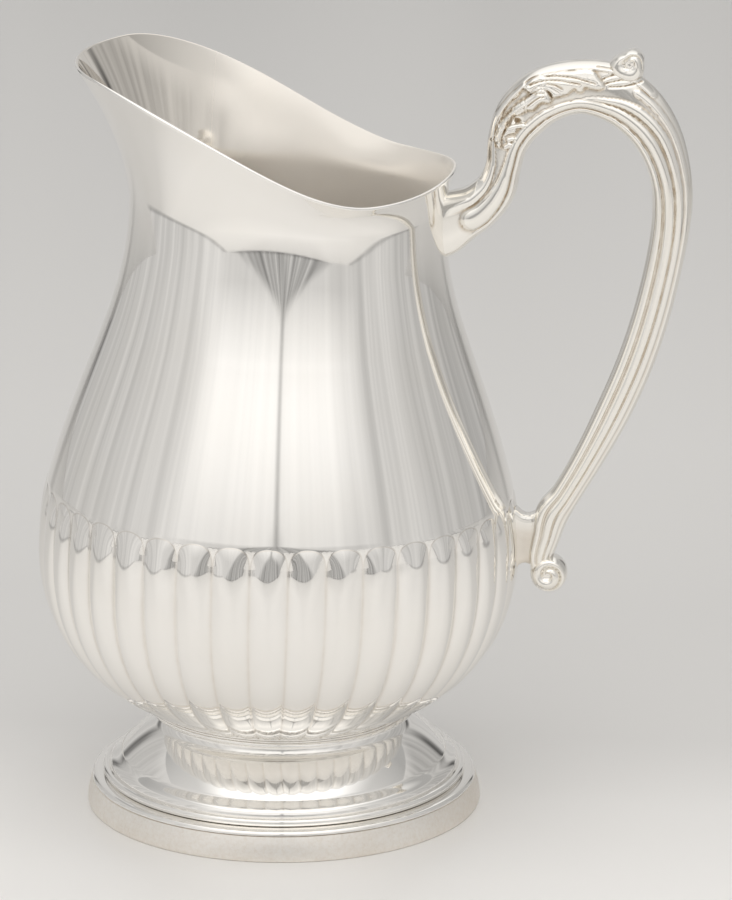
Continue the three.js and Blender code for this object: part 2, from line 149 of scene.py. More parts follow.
# %% Drawing and spinning a line
START_SIZE = 10  # of the plane or circle that a piece is pulled from
MERGE_WITHIN = 0.002


def clear_selection():
    if bpy.context.object and bpy.context.object.mode != "OBJECT":
        bpy.ops.object.mode_set(mode="OBJECT")
    bpy.ops.object.select_all(action="DESELECT")


def name_piece(name):
    """Names the piece that an operator has just added."""
    piece = bpy.context.object
    piece.name = piece.data.name = name
    return piece


def edit_all():
    bpy.ops.object.mode_set(mode="EDIT")
    bpy.ops.mesh.select_all(action="SELECT")


def mark_tarnish_shade(piece, tarnish):
    """Keeps for each vertex how much tarnish and painted shade it gets."""
    piece.data.attributes.new("groove", "FLOAT", "POINT").data.foreach_set("value", tarnish)


def draw_line(name, points):
    """Pulls one vertex along (radius, height) points and leaves the new piece in edit mode."""
    clear_selection()
    bpy.ops.mesh.primitive_plane_add(size=START_SIZE * MM)
    piece = name_piece(name)
    edit_all()
    bpy.ops.mesh.merge(type="CENTER")
    bpy.ops.transform.translate(value=(points[0][0] * MM, 0, points[0][1] * MM))
    for (r0, z0), (r1, z1) in zip(points, points[1:]):
        step = ((r1 - r0) * MM, 0, (z1 - z0) * MM)
        bpy.ops.mesh.extrude_region_move(TRANSFORM_OT_translate={"value": step})
    return piece


def close_mesh():
    """Merges what coincides and turns all faces outwards."""
    bpy.ops.mesh.select_all(action="SELECT")
    bpy.ops.mesh.remove_doubles(threshold=MERGE_WITHIN * MM)
    bpy.ops.mesh.normals_make_consistent(inside=False)


def spin_piece(name, points, steps=192):
    piece = draw_line(name, points)
    bpy.ops.mesh.select_all(action="SELECT")
    bpy.ops.mesh.spin(steps=steps, angle=2 * math.pi, center=(0, 0, 0), axis=(0, 0, 1))
    close_mesh()
    return piece


# %% Laying a grid
def lay_grid(name, columns, rows, point_at):
    """A grid in edit mode, each vertex where point_at(column, row) says, which also gives its tarnish and
    painted shade.
    """
    clear_selection()
    bpy.ops.mesh.primitive_grid_add(x_subdivisions=columns, y_subdivisions=rows - 1, size=1)
    piece = name_piece(name)
    tarnish = []
    for vertex in piece.data.vertices:
        column, row = round((vertex.co.x + 0.5) * columns), round((vertex.co.y + 0.5) * (rows - 1))
        place, groove = point_at(column, row)
        vertex.co = Vector(place) * MM
        tarnish.append(groove)
    mark_tarnish_shade(piece, tarnish)
    edit_all()
    return piece


# %% Setting a piece in its place
def lean_piece():
    """Turns the piece in edit mode to the handle, about a point on the axis."""
    bpy.ops.mesh.select_all(action="SELECT")
    centre = (0, 0, LEAN_CENTRE * MM)
    bpy.ops.transform.rotate(value=-LEAN, orient_axis="Y", center_override=centre)


def set_piece(piece, *nodes, slot, leans=True, smooth=40):
    """Leans the piece if it does, moves it on to the foot's axis, hangs it under the root, hides its solids
    and gives it its slot.
    """
    if leans:
        lean_piece()
    bpy.ops.mesh.select_all(action="SELECT")
    bpy.ops.transform.translate(value=(AXIS_X * MM, 0, 0))
    bpy.ops.object.mode_set(mode="OBJECT")
    bpy.ops.object.shade_smooth_by_angle(angle=math.radians(smooth))
    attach(piece, "root")
    if nodes:
        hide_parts(*nodes)
    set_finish(piece, slot)
    triangles = sum(len(p.vertices) - 2 for p in piece.data.polygons)
    places = np.array([v.co for v in piece.data.vertices]) / MM
    print(piece.name, triangles, "triangles, from", places.min(0).round(2), "to", places.max(0).round(2))
    return piece


# %% [markdown]
# ## The foot
# The foot is three turned pieces. The band is a heavy applied ring with a satin, slightly tapered face
# and a polished shoulder. The pedestal is spun from sheet: a bead, a round dome, a crease, a cone that
# swells a little and a short stem that flares to the waist. A fine reeded wire hides the joint to the
# bowl. Stacking tori and cones could give such a foot, but one drawn section keeps the curves running
# into each other, and on polished metal the reflections show every kink.

# %% Foot band
# A fine scored line parts the satin face from the polished shoulder.
BAND_EDGE, SCORE_WIDTH, SCORE_DEPTH = 0.5, 0.3, 0.35
FACE_LOW, FACE_HIGH, FACE_BULGE = 3.2, 6.0, 0.5  # heights between which the face bends in
SCORE_HEIGHT = BAND_HEIGHT - SCORE_WIDTH / 2
shoulder_radius = FOOT_RADIUS - BAND_TAPER
band = [(FOOT_RADIUS - BAND_WIDTH, 0.0), (FOOT_RADIUS - BAND_EDGE, 0.0)]
band += arc((FOOT_RADIUS - BAND_EDGE, BAND_EDGE), BAND_EDGE, -90, 0, 4)
face_end = (shoulder_radius, BAND_HEIGHT - SCORE_WIDTH)
face_bend = (shoulder_radius + FACE_BULGE, FACE_HIGH)
band += bezier(band[-1], (FOOT_RADIUS, FACE_LOW), face_bend, face_end, 10)
band += [(shoulder_radius - SCORE_DEPTH, SCORE_HEIGHT), (shoulder_radius, BAND_HEIGHT)]
band += arc((shoulder_radius - BAND_SHOULDER, BAND_HEIGHT), BAND_SHOULDER, 0, 90, 12)
band += [(FOOT_RADIUS - BAND_WIDTH, PEDESTAL_FOOT), band[0]]
foot_band = spin_piece("foot_band_ring", band)
set_piece(foot_band, "foot_band", slot="satin_silver", leans=False, smooth=35)

# %% Outside of the pedestal
DOME_UPRIGHT, DOME_OVER_R, DOME_OVER_Z = 0.5, 0.5, 0.38  # shares of the dome that its curve is drawn by
DOME_SINK = 0.2  # how far the dome starts below the top of the bead
CREASE_WIDTH, CREASE_DROP, CREASE_RISE = 0.4, 0.12, 0.2
CONE_SWELL, STEM_CORNER, FLARE_CORNER = 1.0, 0.75, 0.7
bead = FOOT_RADIUS - BAND_TAPER - BAND_SHOULDER - BEAD_INSET - BEAD_RADIUS
bead_top = PEDESTAL_FOOT + 2 * BEAD_RADIUS
dome_foot = bead - DOME_INSET
crease = (bead - DOME_WIDTH, bead_top + DOME_RISE)
stem_foot = (STEM_RADIUS + STEM_FOOT_REACH, crease[1] + SLOPE_RISE)
pitch = SLOPE_RISE / (crease[0] - stem_foot[0])
wall_collar = WAIST_RADIUS - 2 * RING_REED
over_r, over_z = DOME_OVER_R * (dome_foot - crease[0]), DOME_OVER_Z * DOME_RISE
flare = STEM_HEIGHT + FLARE_CORNER * STEM_FLARE_RISE
pedestal_line = [(dome_foot - SHEET, PEDESTAL_FOOT), (bead, PEDESTAL_FOOT)]
pedestal_line += arc((bead, PEDESTAL_FOOT + BEAD_RADIUS), BEAD_RADIUS, -90, 120, 16)
pedestal_line.append((dome_foot, bead_top - DOME_SINK))
dome_side = (dome_foot, bead_top + DOME_UPRIGHT * DOME_RISE)
dome_over = (crease[0] + over_r, crease[1] - over_z)
pedestal_line += bezier(pedestal_line[-1], dome_side, dome_over, crease, 20)
pedestal_line.append((crease[0] - CREASE_WIDTH / 2, crease[1] - CREASE_DROP))
pedestal_line.append((crease[0] - CREASE_WIDTH, crease[1] + CREASE_RISE))
swell = (mix(crease[0], stem_foot[0], 0.5), mix(crease[1], stem_foot[1], 0.5) + CONE_SWELL)
pedestal_line += bend(pedestal_line[-1], swell, stem_foot, 24)
corner = (STEM_RADIUS, stem_foot[1] + STEM_CORNER * STEM_FOOT_REACH * pitch)
pedestal_line += bend(stem_foot, corner, (STEM_RADIUS, STEM_HEIGHT), 18)
pedestal_line += bend(pedestal_line[-1], (STEM_RADIUS, flare), (wall_collar, WAIST_HEIGHT), 8)

# %% Inside of the pedestal
INSIDE_UPRIGHT = 0.3
inside_stem = STEM_RADIUS - SHEET
thin_r, thin_z = 0.66 * SHEET, 0.75 * SHEET  # the sheet's share of each direction on the cone
inside_crease = (crease[0] - thin_r, crease[1] - thin_z)
inside_foot = (stem_foot[0] - thin_r, stem_foot[1] - thin_z)
pedestal_line.append((wall_collar - SHEET, WAIST_HEIGHT))
pedestal_line += bend(pedestal_line[-1], (inside_stem, flare), (inside_stem, STEM_HEIGHT), 6)
corner = (inside_stem, inside_foot[1] + (inside_foot[0] - inside_stem) * pitch)
pedestal_line += bend(pedestal_line[-1], corner, inside_foot, 8)
pedestal_line.append(inside_crease)
under = (inside_crease[0] + over_r, inside_crease[1] - over_z)
side_end = (dome_foot - SHEET, bead_top)
inside_side = (side_end[0], bead_top + INSIDE_UPRIGHT * DOME_RISE)
pedestal_line += bezier(inside_crease, under, inside_side, side_end, 8)
pedestal_line.append(pedestal_line[0])
pedestal = spin_piece("pedestal_shell", pedestal_line)
set_piece(pedestal, "pedestal", slot="bright_silver", leans=False, smooth=30)

# %% Waist ring
# One broad reed and two fine ones. The wire fills the wedge between the upright foot and the leaning
# bowl, so its top leans with the bowl.
RING_REACH, REED_STEPS = 0.55, 10
REED_SHARES = (0.52, 0.24, 0.24)  # of the wire's height, from the bottom
GROOVE_FROM, GROOVE_WITHIN = 0.2, 0.12  # tarnish above this share of the height, this near to a reed's foot
inner_ring = WAIST_RADIUS - RING_WIDTH
reed_foot = WAIST_RADIUS - RING_REACH
ring = [(inner_ring, WAIST_HEIGHT), (reed_foot, WAIST_HEIGHT)]
for share in REED_SHARES:
    half = share * (BOWL_FOOT - WAIST_HEIGHT) / 2
    middle = ring[-1][1] + half
    for k in range(1, REED_STEPS + 1):
        turn = math.pi * (k / REED_STEPS - 0.5)
        ring.append((reed_foot + min(half, RING_REACH) * math.cos(turn), middle + half * math.sin(turn)))
ring += [(inner_ring, BOWL_FOOT - (reed_foot - inner_ring) * BOWL_FOOT_SLOPE), ring[0]]
waist_ring = spin_piece("waist_ring_wire", ring)
mesh = bmesh.from_edit_mesh(waist_ring.data)
marks = mesh.verts.layers.float.new("groove")
for vertex in mesh.verts:
    share = (vertex.co.z / MM - WAIST_HEIGHT) / (BOWL_FOOT - WAIST_HEIGHT)
    in_groove = vertex.co.xy.length / MM < reed_foot + GROOVE_WITHIN
    # Tarnish and painted shade in the grooves between the reeds.
    vertex[marks] = float(share > GROOVE_FROM and in_groove)
    vertex.co.z -= max(share, 0) * vertex.co.x * math.tan(LEAN)
    vertex.co.x -= max(share, 0) * (LEAN_CENTRE - BOWL_FOOT) * math.sin(LEAN) * MM
bmesh.update_edit_mesh(waist_ring.data)
set_piece(waist_ring, "waist_ring", slot="bright_silver", leans=False, smooth=60)

# %% [markdown]
# ## The lobed bowl
# Forty lobes run up from the waist and end in round domes under a plain collar. On the real pitcher they
# are pressed into the sheet from inside. Cutting forty grooves out of a turned bowl would leave dead
# straight edges, so one lobe is shaped on a narrow grid instead, from valley to valley, with the smooth
# inside of the wall on the same strip. Spinning copies of the strip round the axis closes the bowl.

# %% One strip of the bowl
LOBE_COLUMNS, DOME_ROWS = 16, 14
DOME_FULLNESS, DOME_LIFT = 2.3, 0.4  # a fullness of 2 would end the lobes in half circles
CHEEK_REACH, CHEEK_RISE = 21, 24  # how far the curve is drawn out at the foot and at the belly
CREST_RUN, CREST_FALL, CREST_END = 19.1, 2.0, 0.32
COLLAR_PROUD, COLLAR_SLOPE_LOW, COLLAR_SLOPE_HIGH = 0.45, -0.36, -1.96
COLLAR_SHARES = (0.06, 0.3, 0.55, 0.75, 0.88, 0.95, 1)  # closer at the top, where a joint would show
BOTTOM_SAG, BOTTOM_FLAT, LEDGE_RADIUS = 5.2, 14, 36.9
RIM_PULL, LEDGE_PULL = (6, 3.2), (6.9, 2.4)  # how the bottom's curves leave the wall, inside and outside
# Tarnish and painted shade in the lobes' valleys, and a painted shadow line round the domes.
VALLEY_TARNISH_SHADE, DOME_EDGE_TARNISH_SHADE = 0.3, 0.35
cheek_slope = math.atan(BOWL_FOOT_SLOPE)
cheek_r, cheek_z = CHEEK_REACH * math.cos(cheek_slope), CHEEK_REACH * math.sin(cheek_slope)
cheek_out = (BOWL_FOOT_RADIUS + cheek_r, BOWL_FOOT + cheek_z)
belly = (BELLY_RADIUS, BELLY_HEIGHT)
crest = [(BOWL_FOOT_RADIUS, BOWL_FOOT)]
crest += bezier(crest[0], cheek_out, (BELLY_RADIUS, BELLY_HEIGHT - CHEEK_RISE), belly, 40)


def crest_radius(height):
    """Radius over the crests from the belly up: one smooth fall that ends on the collar."""
    share = (height - BELLY_HEIGHT) / CREST_RUN
    return BELLY_RADIUS - CREST_FALL * share ** 2 - CREST_END * share ** 8


for k in range(1, 10):
    z = mix(BELLY_HEIGHT, DOME_BASE, k / 9)
    crest.append((crest_radius(z), z))


def collar_radius(height):
    """Radius between the domes, which runs on smoothly into the shoulder."""
    share = min(max((height - DOME_BASE) / (COLLAR_HEIGHT - DOME_BASE), 0), 1)
    proud = COLLAR_PROUD * (2 * share ** 3 - 3 * share ** 2 + 1)
    low = COLLAR_SLOPE_LOW * (share ** 3 - 2 * share ** 2 + share)
    return COLLAR_RADIUS + proud + low + COLLAR_SLOPE_HIGH * (share ** 3 - share ** 2)


def valley_depth(radius, height):
    """How deep the valleys lie below the crests: they run out on to the collar."""
    top = crest_radius(DOME_BASE) - collar_radius(DOME_BASE)
    return mix(LOBE_DEPTH * radius / BELLY_RADIUS, top, ease(height, BELLY_HEIGHT, DOME_BASE))


def strip_column(side):
    """The (radius, height) points of the wall at one place across a lobe, -1 and 1 in its valleys."""
    points = [(r - valley_depth(r, z) * side * side, z) for r, z in crest]
    rise = (1 - abs(side) ** DOME_FULLNESS) ** (1 / DOME_FULLNESS)
    for k in range(1, DOME_ROWS + 1):
        share = math.sin(math.pi / 2 * k / DOME_ROWS)
        z, crest_z = (DOME_BASE + share * (LOBE_HALF_WIDTH * full + DOME_LIFT) for full in (rise, 1))
        bulge = crest_radius(crest_z) - collar_radius(crest_z)
        points.append((collar_radius(z) + (1 - side * side) * bulge, z))
    edge = points[-1][1]
    for share in COLLAR_SHARES:
        z = mix(edge, COLLAR_HEIGHT, share)
        points.append((collar_radius(z), z))
    points.append((COLLAR_RADIUS - SHEET, COLLAR_HEIGHT))
    points += [(r - LOBE_DEPTH * r / BELLY_RADIUS - SHEET, z) for r, z in crest][::-3]
    bottom = BOWL_FOOT - BOTTOM_SAG
    floor = bottom + SHEET
    rim = points[-1]
    points += bezier(rim, (rim[0] - RIM_PULL[0], rim[1] - RIM_PULL[1]), (BOTTOM_FLAT, floor), (0, floor), 12)
    points.append((0, bottom))
    ledge = (LEDGE_RADIUS, BOWL_FOOT - (BOWL_FOOT_RADIUS - LEDGE_RADIUS) * BOWL_FOOT_SLOPE)
    under = (ledge[0] - LEDGE_PULL[0], ledge[1] - LEDGE_PULL[1])
    points += bezier((0, bottom), (BOTTOM_FLAT, bottom), under, ledge, 10)
    points.append(points[0])
    return points


def strip_tarnish_shade(row, side):
    """How much tarnish and painted shade a place on the strip gets: in the valleys and round the domes."""
    past_crest = row - len(crest)
    valley = VALLEY_TARNISH_SHADE * abs(side) ** 12
    if past_crest < DOME_ROWS:
        return max(valley, DOME_EDGE_TARNISH_SHADE * (max(past_crest + 1, 0) / DOME_ROWS) ** 14)
    return VALLEY_TARNISH_SHADE if past_crest == DOME_ROWS else 0


# %% Shape the strip and copy it round
strip = [strip_column(2 * k / LOBE_COLUMNS - 1) for k in range(LOBE_COLUMNS + 1)]


def strip_point(column, row):
    radius, height = strip[column][row]
    angle = 2 * math.pi / LOBE_COUNT * column / LOBE_COLUMNS
    groove = strip_tarnish_shade(row, 2 * column / LOBE_COLUMNS - 1)
    return (radius * math.cos(angle), radius * math.sin(angle), height), groove


lower_bowl = lay_grid("lobed_bowl", LOBE_COLUMNS, len(strip[0]), strip_point)
copies = LOBE_COUNT - 1
whole_turn = 2 * math.pi * copies / LOBE_COUNT
bpy.ops.mesh.spin(steps=copies, dupli=True, angle=whole_turn, center=(0, 0, 0), axis=(0, 0, 1))
close_mesh()
set_piece(lower_bowl, "lower_bowl", slot="bright_silver", smooth=60)

# %% [markdown]
# ## The upper body
# The plain upper body is drawn in to a narrow neck and opens again to the pouring lip, whose edge swings
# from a low place beside the handle up to the tip. A spun line can't swing, so a ring of vertices is
# pulled up row by row instead, each row laid where the wall goes, over the thin round edge and down the
# inside. The rows about the neck are then smoothed, so that shoulder and flare run into one another.


# %% Pulling a ring along
def start_ring(name, count):
    """A circle in edit mode whose vertices remember their order along the ring."""
    clear_selection()
    bpy.ops.mesh.primitive_circle_add(vertices=count, radius=START_SIZE * MM)
    piece = name_piece(name)
    piece.data.attributes.new("order", "INT", "POINT")
    piece.data.attributes["order"].data.foreach_set("value", list(range(count)))
    edit_all()
    return piece


def lay_ring(places):
    """Puts the chosen ring's vertices at these places, given in millimetres."""
    data = bpy.context.object.data
    mesh = bmesh.from_edit_mesh(data)
    order = mesh.verts.layers.int["order"]
    for vertex in mesh.verts:
        if vertex.select:
            vertex.co = Vector(places[vertex[order]]) * MM
    bmesh.update_edit_mesh(data, loop_triangles=False, destructive=False)


def pull_rings(name, rings):
    piece = start_ring(name, len(rings[0]))
    lay_ring(rings[0])
    for places in rings[1:]:
        bpy.ops.mesh.extrude_region_move()
        lay_ring(places)
    return piece


# %% The wall of the upper body
BODY_COLUMNS, LIP_ROWS, EDGE_STEPS = 240, 36, 8
SHOULDER_FALL, SHOULDER_RUN, NECK_RUN = 10.3, 38, 30
LIP_BACK_REACH, LIP_SIDE_REACH, LIP_TIP_REACH = 49.7, 52.8, 63.6
LIP_BACK_RISE, LIP_LOW_RISE, LIP_TIP_RISE = 12.7, 9.3, 40.8
LIP_LOW_TURN, LIP_REACH_TURN, LIP_TIP_TURN = 55, 80, 150  # in degrees from the handle
LIP_CURL, EDGE_ROUND = 1.7, 0.35
NECK_SMOOTHED = (150, 194)  # heights
neck_place = (NECK_RADIUS, NECK_HEIGHT)
shoulder_line = [(COLLAR_RADIUS, COLLAR_HEIGHT)]
shoulder_start = (COLLAR_RADIUS - SHOULDER_FALL, COLLAR_HEIGHT + SHOULDER_RUN)
shoulder_end = (NECK_RADIUS, NECK_HEIGHT - NECK_RUN)
shoulder_line += bezier(shoulder_line[0], shoulder_start, shoulder_end, neck_place, 56)


def lip_edge(turn):
    """Reach and height of the lip's edge, by degrees round from the handle to the tip."""
    reach = mix(LIP_BACK_REACH, LIP_SIDE_REACH, ease(turn, 0, 90))
    reach += (LIP_TIP_REACH - LIP_SIDE_REACH) * ease(turn, LIP_REACH_TURN, LIP_TIP_TURN)
    rise = mix(LIP_LOW_RISE, LIP_TIP_RISE, ease(turn, LIP_LOW_TURN, LIP_TIP_TURN))
    rise += (LIP_BACK_RISE - LIP_LOW_RISE) * (1 - ease(turn, 0, LIP_LOW_TURN))
    return reach, NECK_HEIGHT + rise


def wall_column(angle):
    """The wall's (radius, height) points at one angle: up the outside, over the edge, down the inside."""
    reach, height = lip_edge(abs(math.degrees(math.atan2(math.sin(angle), math.cos(angle)))))
    outside = list(shoulder_line)
    for k in range(1, LIP_ROWS + 1):
        share = k / LIP_ROWS
        outside.append((mix(NECK_RADIUS, reach, share ** LIP_CURL), mix(NECK_HEIGHT, height, share)))
    (r0, z0), (r1, z1) = outside[-2:]
    out = math.hypot(r1 - r0, z1 - z0)
    along, across = ((r1 - r0) / out, (z1 - z0) / out), ((z0 - z1) / out, (r1 - r0) / out)
    edge = []
    for k in range(1, EDGE_STEPS):
        turn = math.pi * k / EDGE_STEPS
        lift, back = EDGE_ROUND * math.sin(turn), SHEET / 2 * (1 - math.cos(turn))
        edge.append((r1 + lift * along[0] + back * across[0], z1 + lift * along[1] + back * across[1]))
    inside = [(r - SHEET, z + 0.25 * SHEET * (z > NECK_HEIGHT)) for r, z in outside[::-2]]
    return outside + edge + inside


# %% Pull the wall up and over the edge
turns = [2 * math.pi * k / BODY_COLUMNS for k in range(BODY_COLUMNS)]
wall = [wall_column(turn) for turn in turns]
rings = []
for row in range(len(wall[0])):
    ring_row = [(w[row][0] * math.cos(t), w[row][0] * math.sin(t), w[row][1]) for w, t in zip(wall, turns)]
    rings.append(ring_row)
rings.append(rings[0])
upper_body = pull_rings("pouring_body", rings)
close_mesh()
print("rows of the wall:", len(rings))

# %% Smooth the neck
bpy.ops.mesh.select_all(action="DESELECT")
mesh = bmesh.from_edit_mesh(upper_body.data)
for vertex in mesh.verts:
    vertex.select = NECK_SMOOTHED[0] * MM < vertex.co.z < NECK_SMOOTHED[1] * MM
mesh.select_flush_mode()
bmesh.update_edit_mesh(upper_body.data)
bpy.ops.mesh.vertices_smooth(factor=0.5, repeat=12)
set_piece(upper_body, "upper_body", slot="bright_silver", smooth=60)

# %% [markdown]
# ## The handle
# The handle is hollow and soldered from two halves on its middle plane. Two beads run along its inner
# side from the neck to the tail, two more join them on the long back arm, and a rounded rib runs over the
# top from the neck to the thumb scroll. Each half is a grid laid along the handle's middle line with the
# beads raised on its outer side, so they flow as on the metal.

# %% The handle's middle line
NECK_JOINT = (NECK_RADIUS, NECK_HEIGHT - 4)
STRUT_JOINT = (BELLY_RADIUS + 3.8, COLLAR_HEIGHT - 14.2)
# Each station: its x and z from the joint, and the handle's width.
upper_stations = [
    (-4.3, -0.8, 20.3), (0.1, 0.8, 19.3), (4.9, 3.2, 15.7), (10.2, 6.5, 13.6), (14.7, 11.9, 12.1),
    (16.7, 19.1, 10.6), (18, 26.8, 12.6), (21.6, 34.4, 15.8), (28, 40.4, 16.4), (37.6, 43.5, 15.8),
    (47.6, 42.4, 17), (55.4, 37.6, 16.2), (61.6, 29.8, 14.2), (65.6, 19.4, 12.3), (66.8, 8.5, 11.65),
    (65.6, -5, 11.1),
]
lower_stations = [
    (33, 72.8, 11.1), (28.5, 56.4, 11), (22.6, 40.8, 10.6), (16.2, 26.8, 9.4), (9.8, 14.6, 8.9),
    (5.9, 8.2, 10.2), (4.3, 1.4, 8.8), (2.9, -5, 7.6), (3.4, -9.5, 6),
]
stations = [(NECK_JOINT[0] + x, NECK_JOINT[1] + z, w) for x, z, w in upper_stations]
stations += [(STRUT_JOINT[0] + x, STRUT_JOINT[1] + z, w) for x, z, w in lower_stations]


def curve_shares(t):
    """Shares of four neighbouring points in a smooth line that runs between the middle two."""
    return (
        -0.5 * t + t * t - 0.5 * t ** 3, 1 - 2.5 * t * t + 1.5 * t ** 3,
        0.5 * t + 2 * t * t - 1.5 * t ** 3, -0.5 * t * t + 0.5 * t ** 3,
    )


def station_at(place):
    """Middle point and width at a place along the handle, counted in stations."""
    k = min(int(place), len(stations) - 2)
    p = [stations[min(max(k + i, 0), len(stations) - 1)] for i in (-1, 0, 1, 2)]
    return tuple(sum(s * q[i] for s, q in zip(curve_shares(place - k), p)) for i in range(3))


# %% Beads and ribs across the handle
LAST, FAR = len(stations) - 1, 99  # the last station, and a place beyond any
SIDE_FULLNESS, BACK_FULLNESS, BODY_SHARE = 3.2, 2.2, 0.86
BEAD_ROUND, BEAD_HIGHEST, BEAD_FADE = 0.64, 1.15, (1.2, 2.8)
STATION_RUN = 6  # rough length from station to station
# Each bead: where it runs along the handle, and tables of its two edges across the width.
beads = {
    "inner": (
        -1, FAR, [(0, -0.5), (12, -0.49), (15, -0.46)],
        [(0, -0.37), (3, -0.36), (4, -0.3), (6, -0.3), (8, -0.365), (10, -0.36), (12, -0.31), (15, -0.21)]),
    "second": (
        2.5, FAR,
        [(0, -0.34), (3, -0.34), (4, -0.27), (6, -0.28), (8, -0.345), (10, -0.34), (12, -0.27), (15, -0.14)],
        [(0, 0.11), (3, 0.11), (4, 0.13), (6, -0.08), (8, -0.2), (10, -0.18), (12, -0.02), (15, 0.11)]),
    "third": (
        9.2, FAR, [(9, -0.2), (10, -0.17), (12, 0.03), (15, 0.15)],
        [(9, -0.18), (10, -0.06), (11, 0.12), (12, 0.23), (15, 0.32)]),
    "back": (10.7, FAR, [(10, 0.16), (12, 0.29), (15, 0.37)], [(10, 0.3), (12, 0.41), (15, 0.46)]),
    "top": (
        -1, 10.9, [(0, 0.12), (3, 0.14), (5, 0.2), (6, 0.3), (8, 0.36), (11, 0.36)],
        [(0, 0.5), (11, 0.5)]),
}


def face_height(place, u, depth, width):
    """How far the handle's side stands out at a place along it and a share u across it."""
    fullness = mix(SIDE_FULLNESS, BACK_FULLNESS, ease(place, 9, 11)) if u > 0 else SIDE_FULLNESS
    body = depth * max(1 - abs(2 * u) ** fullness, 0) ** (1 / fullness)
    lift = 0.0
    for start, end, low, high in beads.values():
        lo, hi = from_table(low, place), from_table(high, place)
        middle, half = (lo + hi) / 2, (hi - lo) / 2
        across = (u - middle) / half
        before = max(start - place, place - end, 0) * STATION_RUN / (half * width)
        round_end = 1 - across * across - before * before
        if round_end > 0:
            bead_lift = min(BEAD_ROUND * half * width, BEAD_HIGHEST) * math.sqrt(round_end)
            lift = max(lift, bead_lift if start > 0 else bead_lift * ease(place, *BEAD_FADE))
    return body * BODY_SHARE + lift * (1 - abs(2 * u) ** 8)


# %% [markdown]
# ## The leaf
# An acanthus leaf lies on each side of the handle's bend, between the top rib and the beads. It is stamped
# in low relief: four overlapping lobes with scalloped tips, veins that sweep up from its stalk, small
# curls below it, and a fluted stalk that runs on into the thumb scroll. Sculpting it by brush would need
# a far finer mesh, so the lobes are drawn as outlines on the handle's side, in millimetres from the neck
# joint, and every point of the side is raised by how far it lies inside them.

# %% Outlines of the leaf
LEAF_LOBES = [
    (0.55, [(15.8, 36.9), (17, 39.8), (19.4, 42.4), (21.9, 44.7), (22.6, 44.6), (21.4, 42.1), (20.2, 40.3),
            (18.2, 38.7)]),
    (0.75, [(21.6, 43.3), (23.2, 45.4), (25.4, 46.8), (29.2, 48), (33.7, 48.8), (37, 49.3), (40.2, 49.8),
            (42.5, 49.1), (43.9, 47.3), (45.2, 45.9), (45.7, 44.7), (44.3, 43.9), (43, 43.8), (41.1, 44.1),
            (39.8, 44.4), (39.2, 43), (37.6, 42.9), (36.9, 43.8), (35.6, 42.8), (35, 42.1), (33.7, 41.7),
            (31.7, 42.3), (28.8, 43.5), (25.8, 43.3), (24, 41.9)]),
    (1.0, [(23.6, 41.6), (25.5, 44), (28.1, 44.4), (30.7, 43.7), (32.7, 42.7), (33.7, 41.7), (32.3, 41.3),
           (30.7, 40.8), (29.8, 42.2), (28.5, 43), (26.8, 42.9), (25.2, 42)]),
    (1.2, [(14, 27.5), (14.8, 31.5), (17, 34.9), (20.1, 38.4), (23.6, 40.9), (24.9, 42.3), (26.2, 43.3),
           (27.5, 43.5), (28.9, 42.9), (29.9, 41.6), (30.3, 40.3), (29.9, 39.3), (28.9, 39.2), (27.6, 39.3),
           (26.4, 38.4), (25.1, 37), (23.5, 36.7), (21.9, 35.9), (20.6, 35.1), (19.3, 34.7), (18, 33.3),
           (16.9, 31), (16.2, 28.2), (15.7, 24.9)]),
]
LEAF_VEINS = [
    [(22.5, 44.7), (24.4, 46.2), (27.3, 47), (31.9, 47.4), (36.7, 47.2), (40.3, 46.4), (43, 45.7)],
    [(23.7, 44.3), (27.4, 45.7), (31.9, 46.2), (35.2, 45.8), (38.4, 45.4)],
    [(28.7, 45), (31.3, 44.7), (33.3, 43.7)],
    [(14.7, 26.8), (16.2, 30.9), (18.7, 34.7), (21.9, 37.2), (23.8, 38.6), (26.3, 40.7), (28.2, 41.2)],
    [(14.4, 28.2), (15.7, 32.2), (18, 35.7), (20.8, 38.1), (24, 40.3), (26.2, 42.1), (28.2, 42.2)],
    [(15.4, 26.2), (16.8, 29.9), (18.5, 33), (20.3, 35.6), (23.2, 37.1)],
    [(45.1, 47), (47.9, 48.3), (51.4, 49.4), (53.6, 51), (55, 53)],
    [(45.7, 45.7), (50.3, 46.9), (55, 47.5), (56.4, 48.7)],
    [(43.2, 50.5), (46.7, 50.1), (50.2, 50.5), (51.9, 51.8), (52.5, 53.4)],
    [(46.9, 44.8), (51.6, 45.2), (56.2, 46.6)],
]
LEAF_CURLS = [
    [(13.2, 28.1), (13.7, 32.8), (15.7, 36.7), (17.2, 38.6)], [(17.5, 30.9), (20.4, 31.8), (22.4, 32.2)],
    [(16.1, 28.6), (17.6, 29.8), (19.5, 30.4)], [(18.1, 27.6), (19.6, 28)], [(17.3, 25.3), (18.4, 26.2)],
]
LEAF_PIT, PIT_REACH, PIT_DEPTH = (20.4, 33.5), (0.9, 0.55), 1.3
LEAF_LIFT, LEAF_CROWN, LEAF_EDGE = 1.4, 0.2, 0.9
CURL_LIFT, CURL_WIDTH, VEIN_DEPTH, VEIN_WIDTH = 0.8, 0.75, 0.6, 0.3


# %% Height of the leaf
def rounded(points, steps, closed=False):
    """A smooth line through the points."""
    ends = (points[-1:], points[:2]) if closed else (points[:1], points[-1:])
    wide = ends[0] + points + ends[1]
    line = [points[0]]
    for p in zip(wide, wide[1:], wide[2:], wide[3:]):
        for k in range(1, steps + 1):
            shares = curve_shares(k / steps)
            line.append(tuple(sum(w * q[i] for w, q in zip(shares, p)) for i in (0, 1)))
    return line


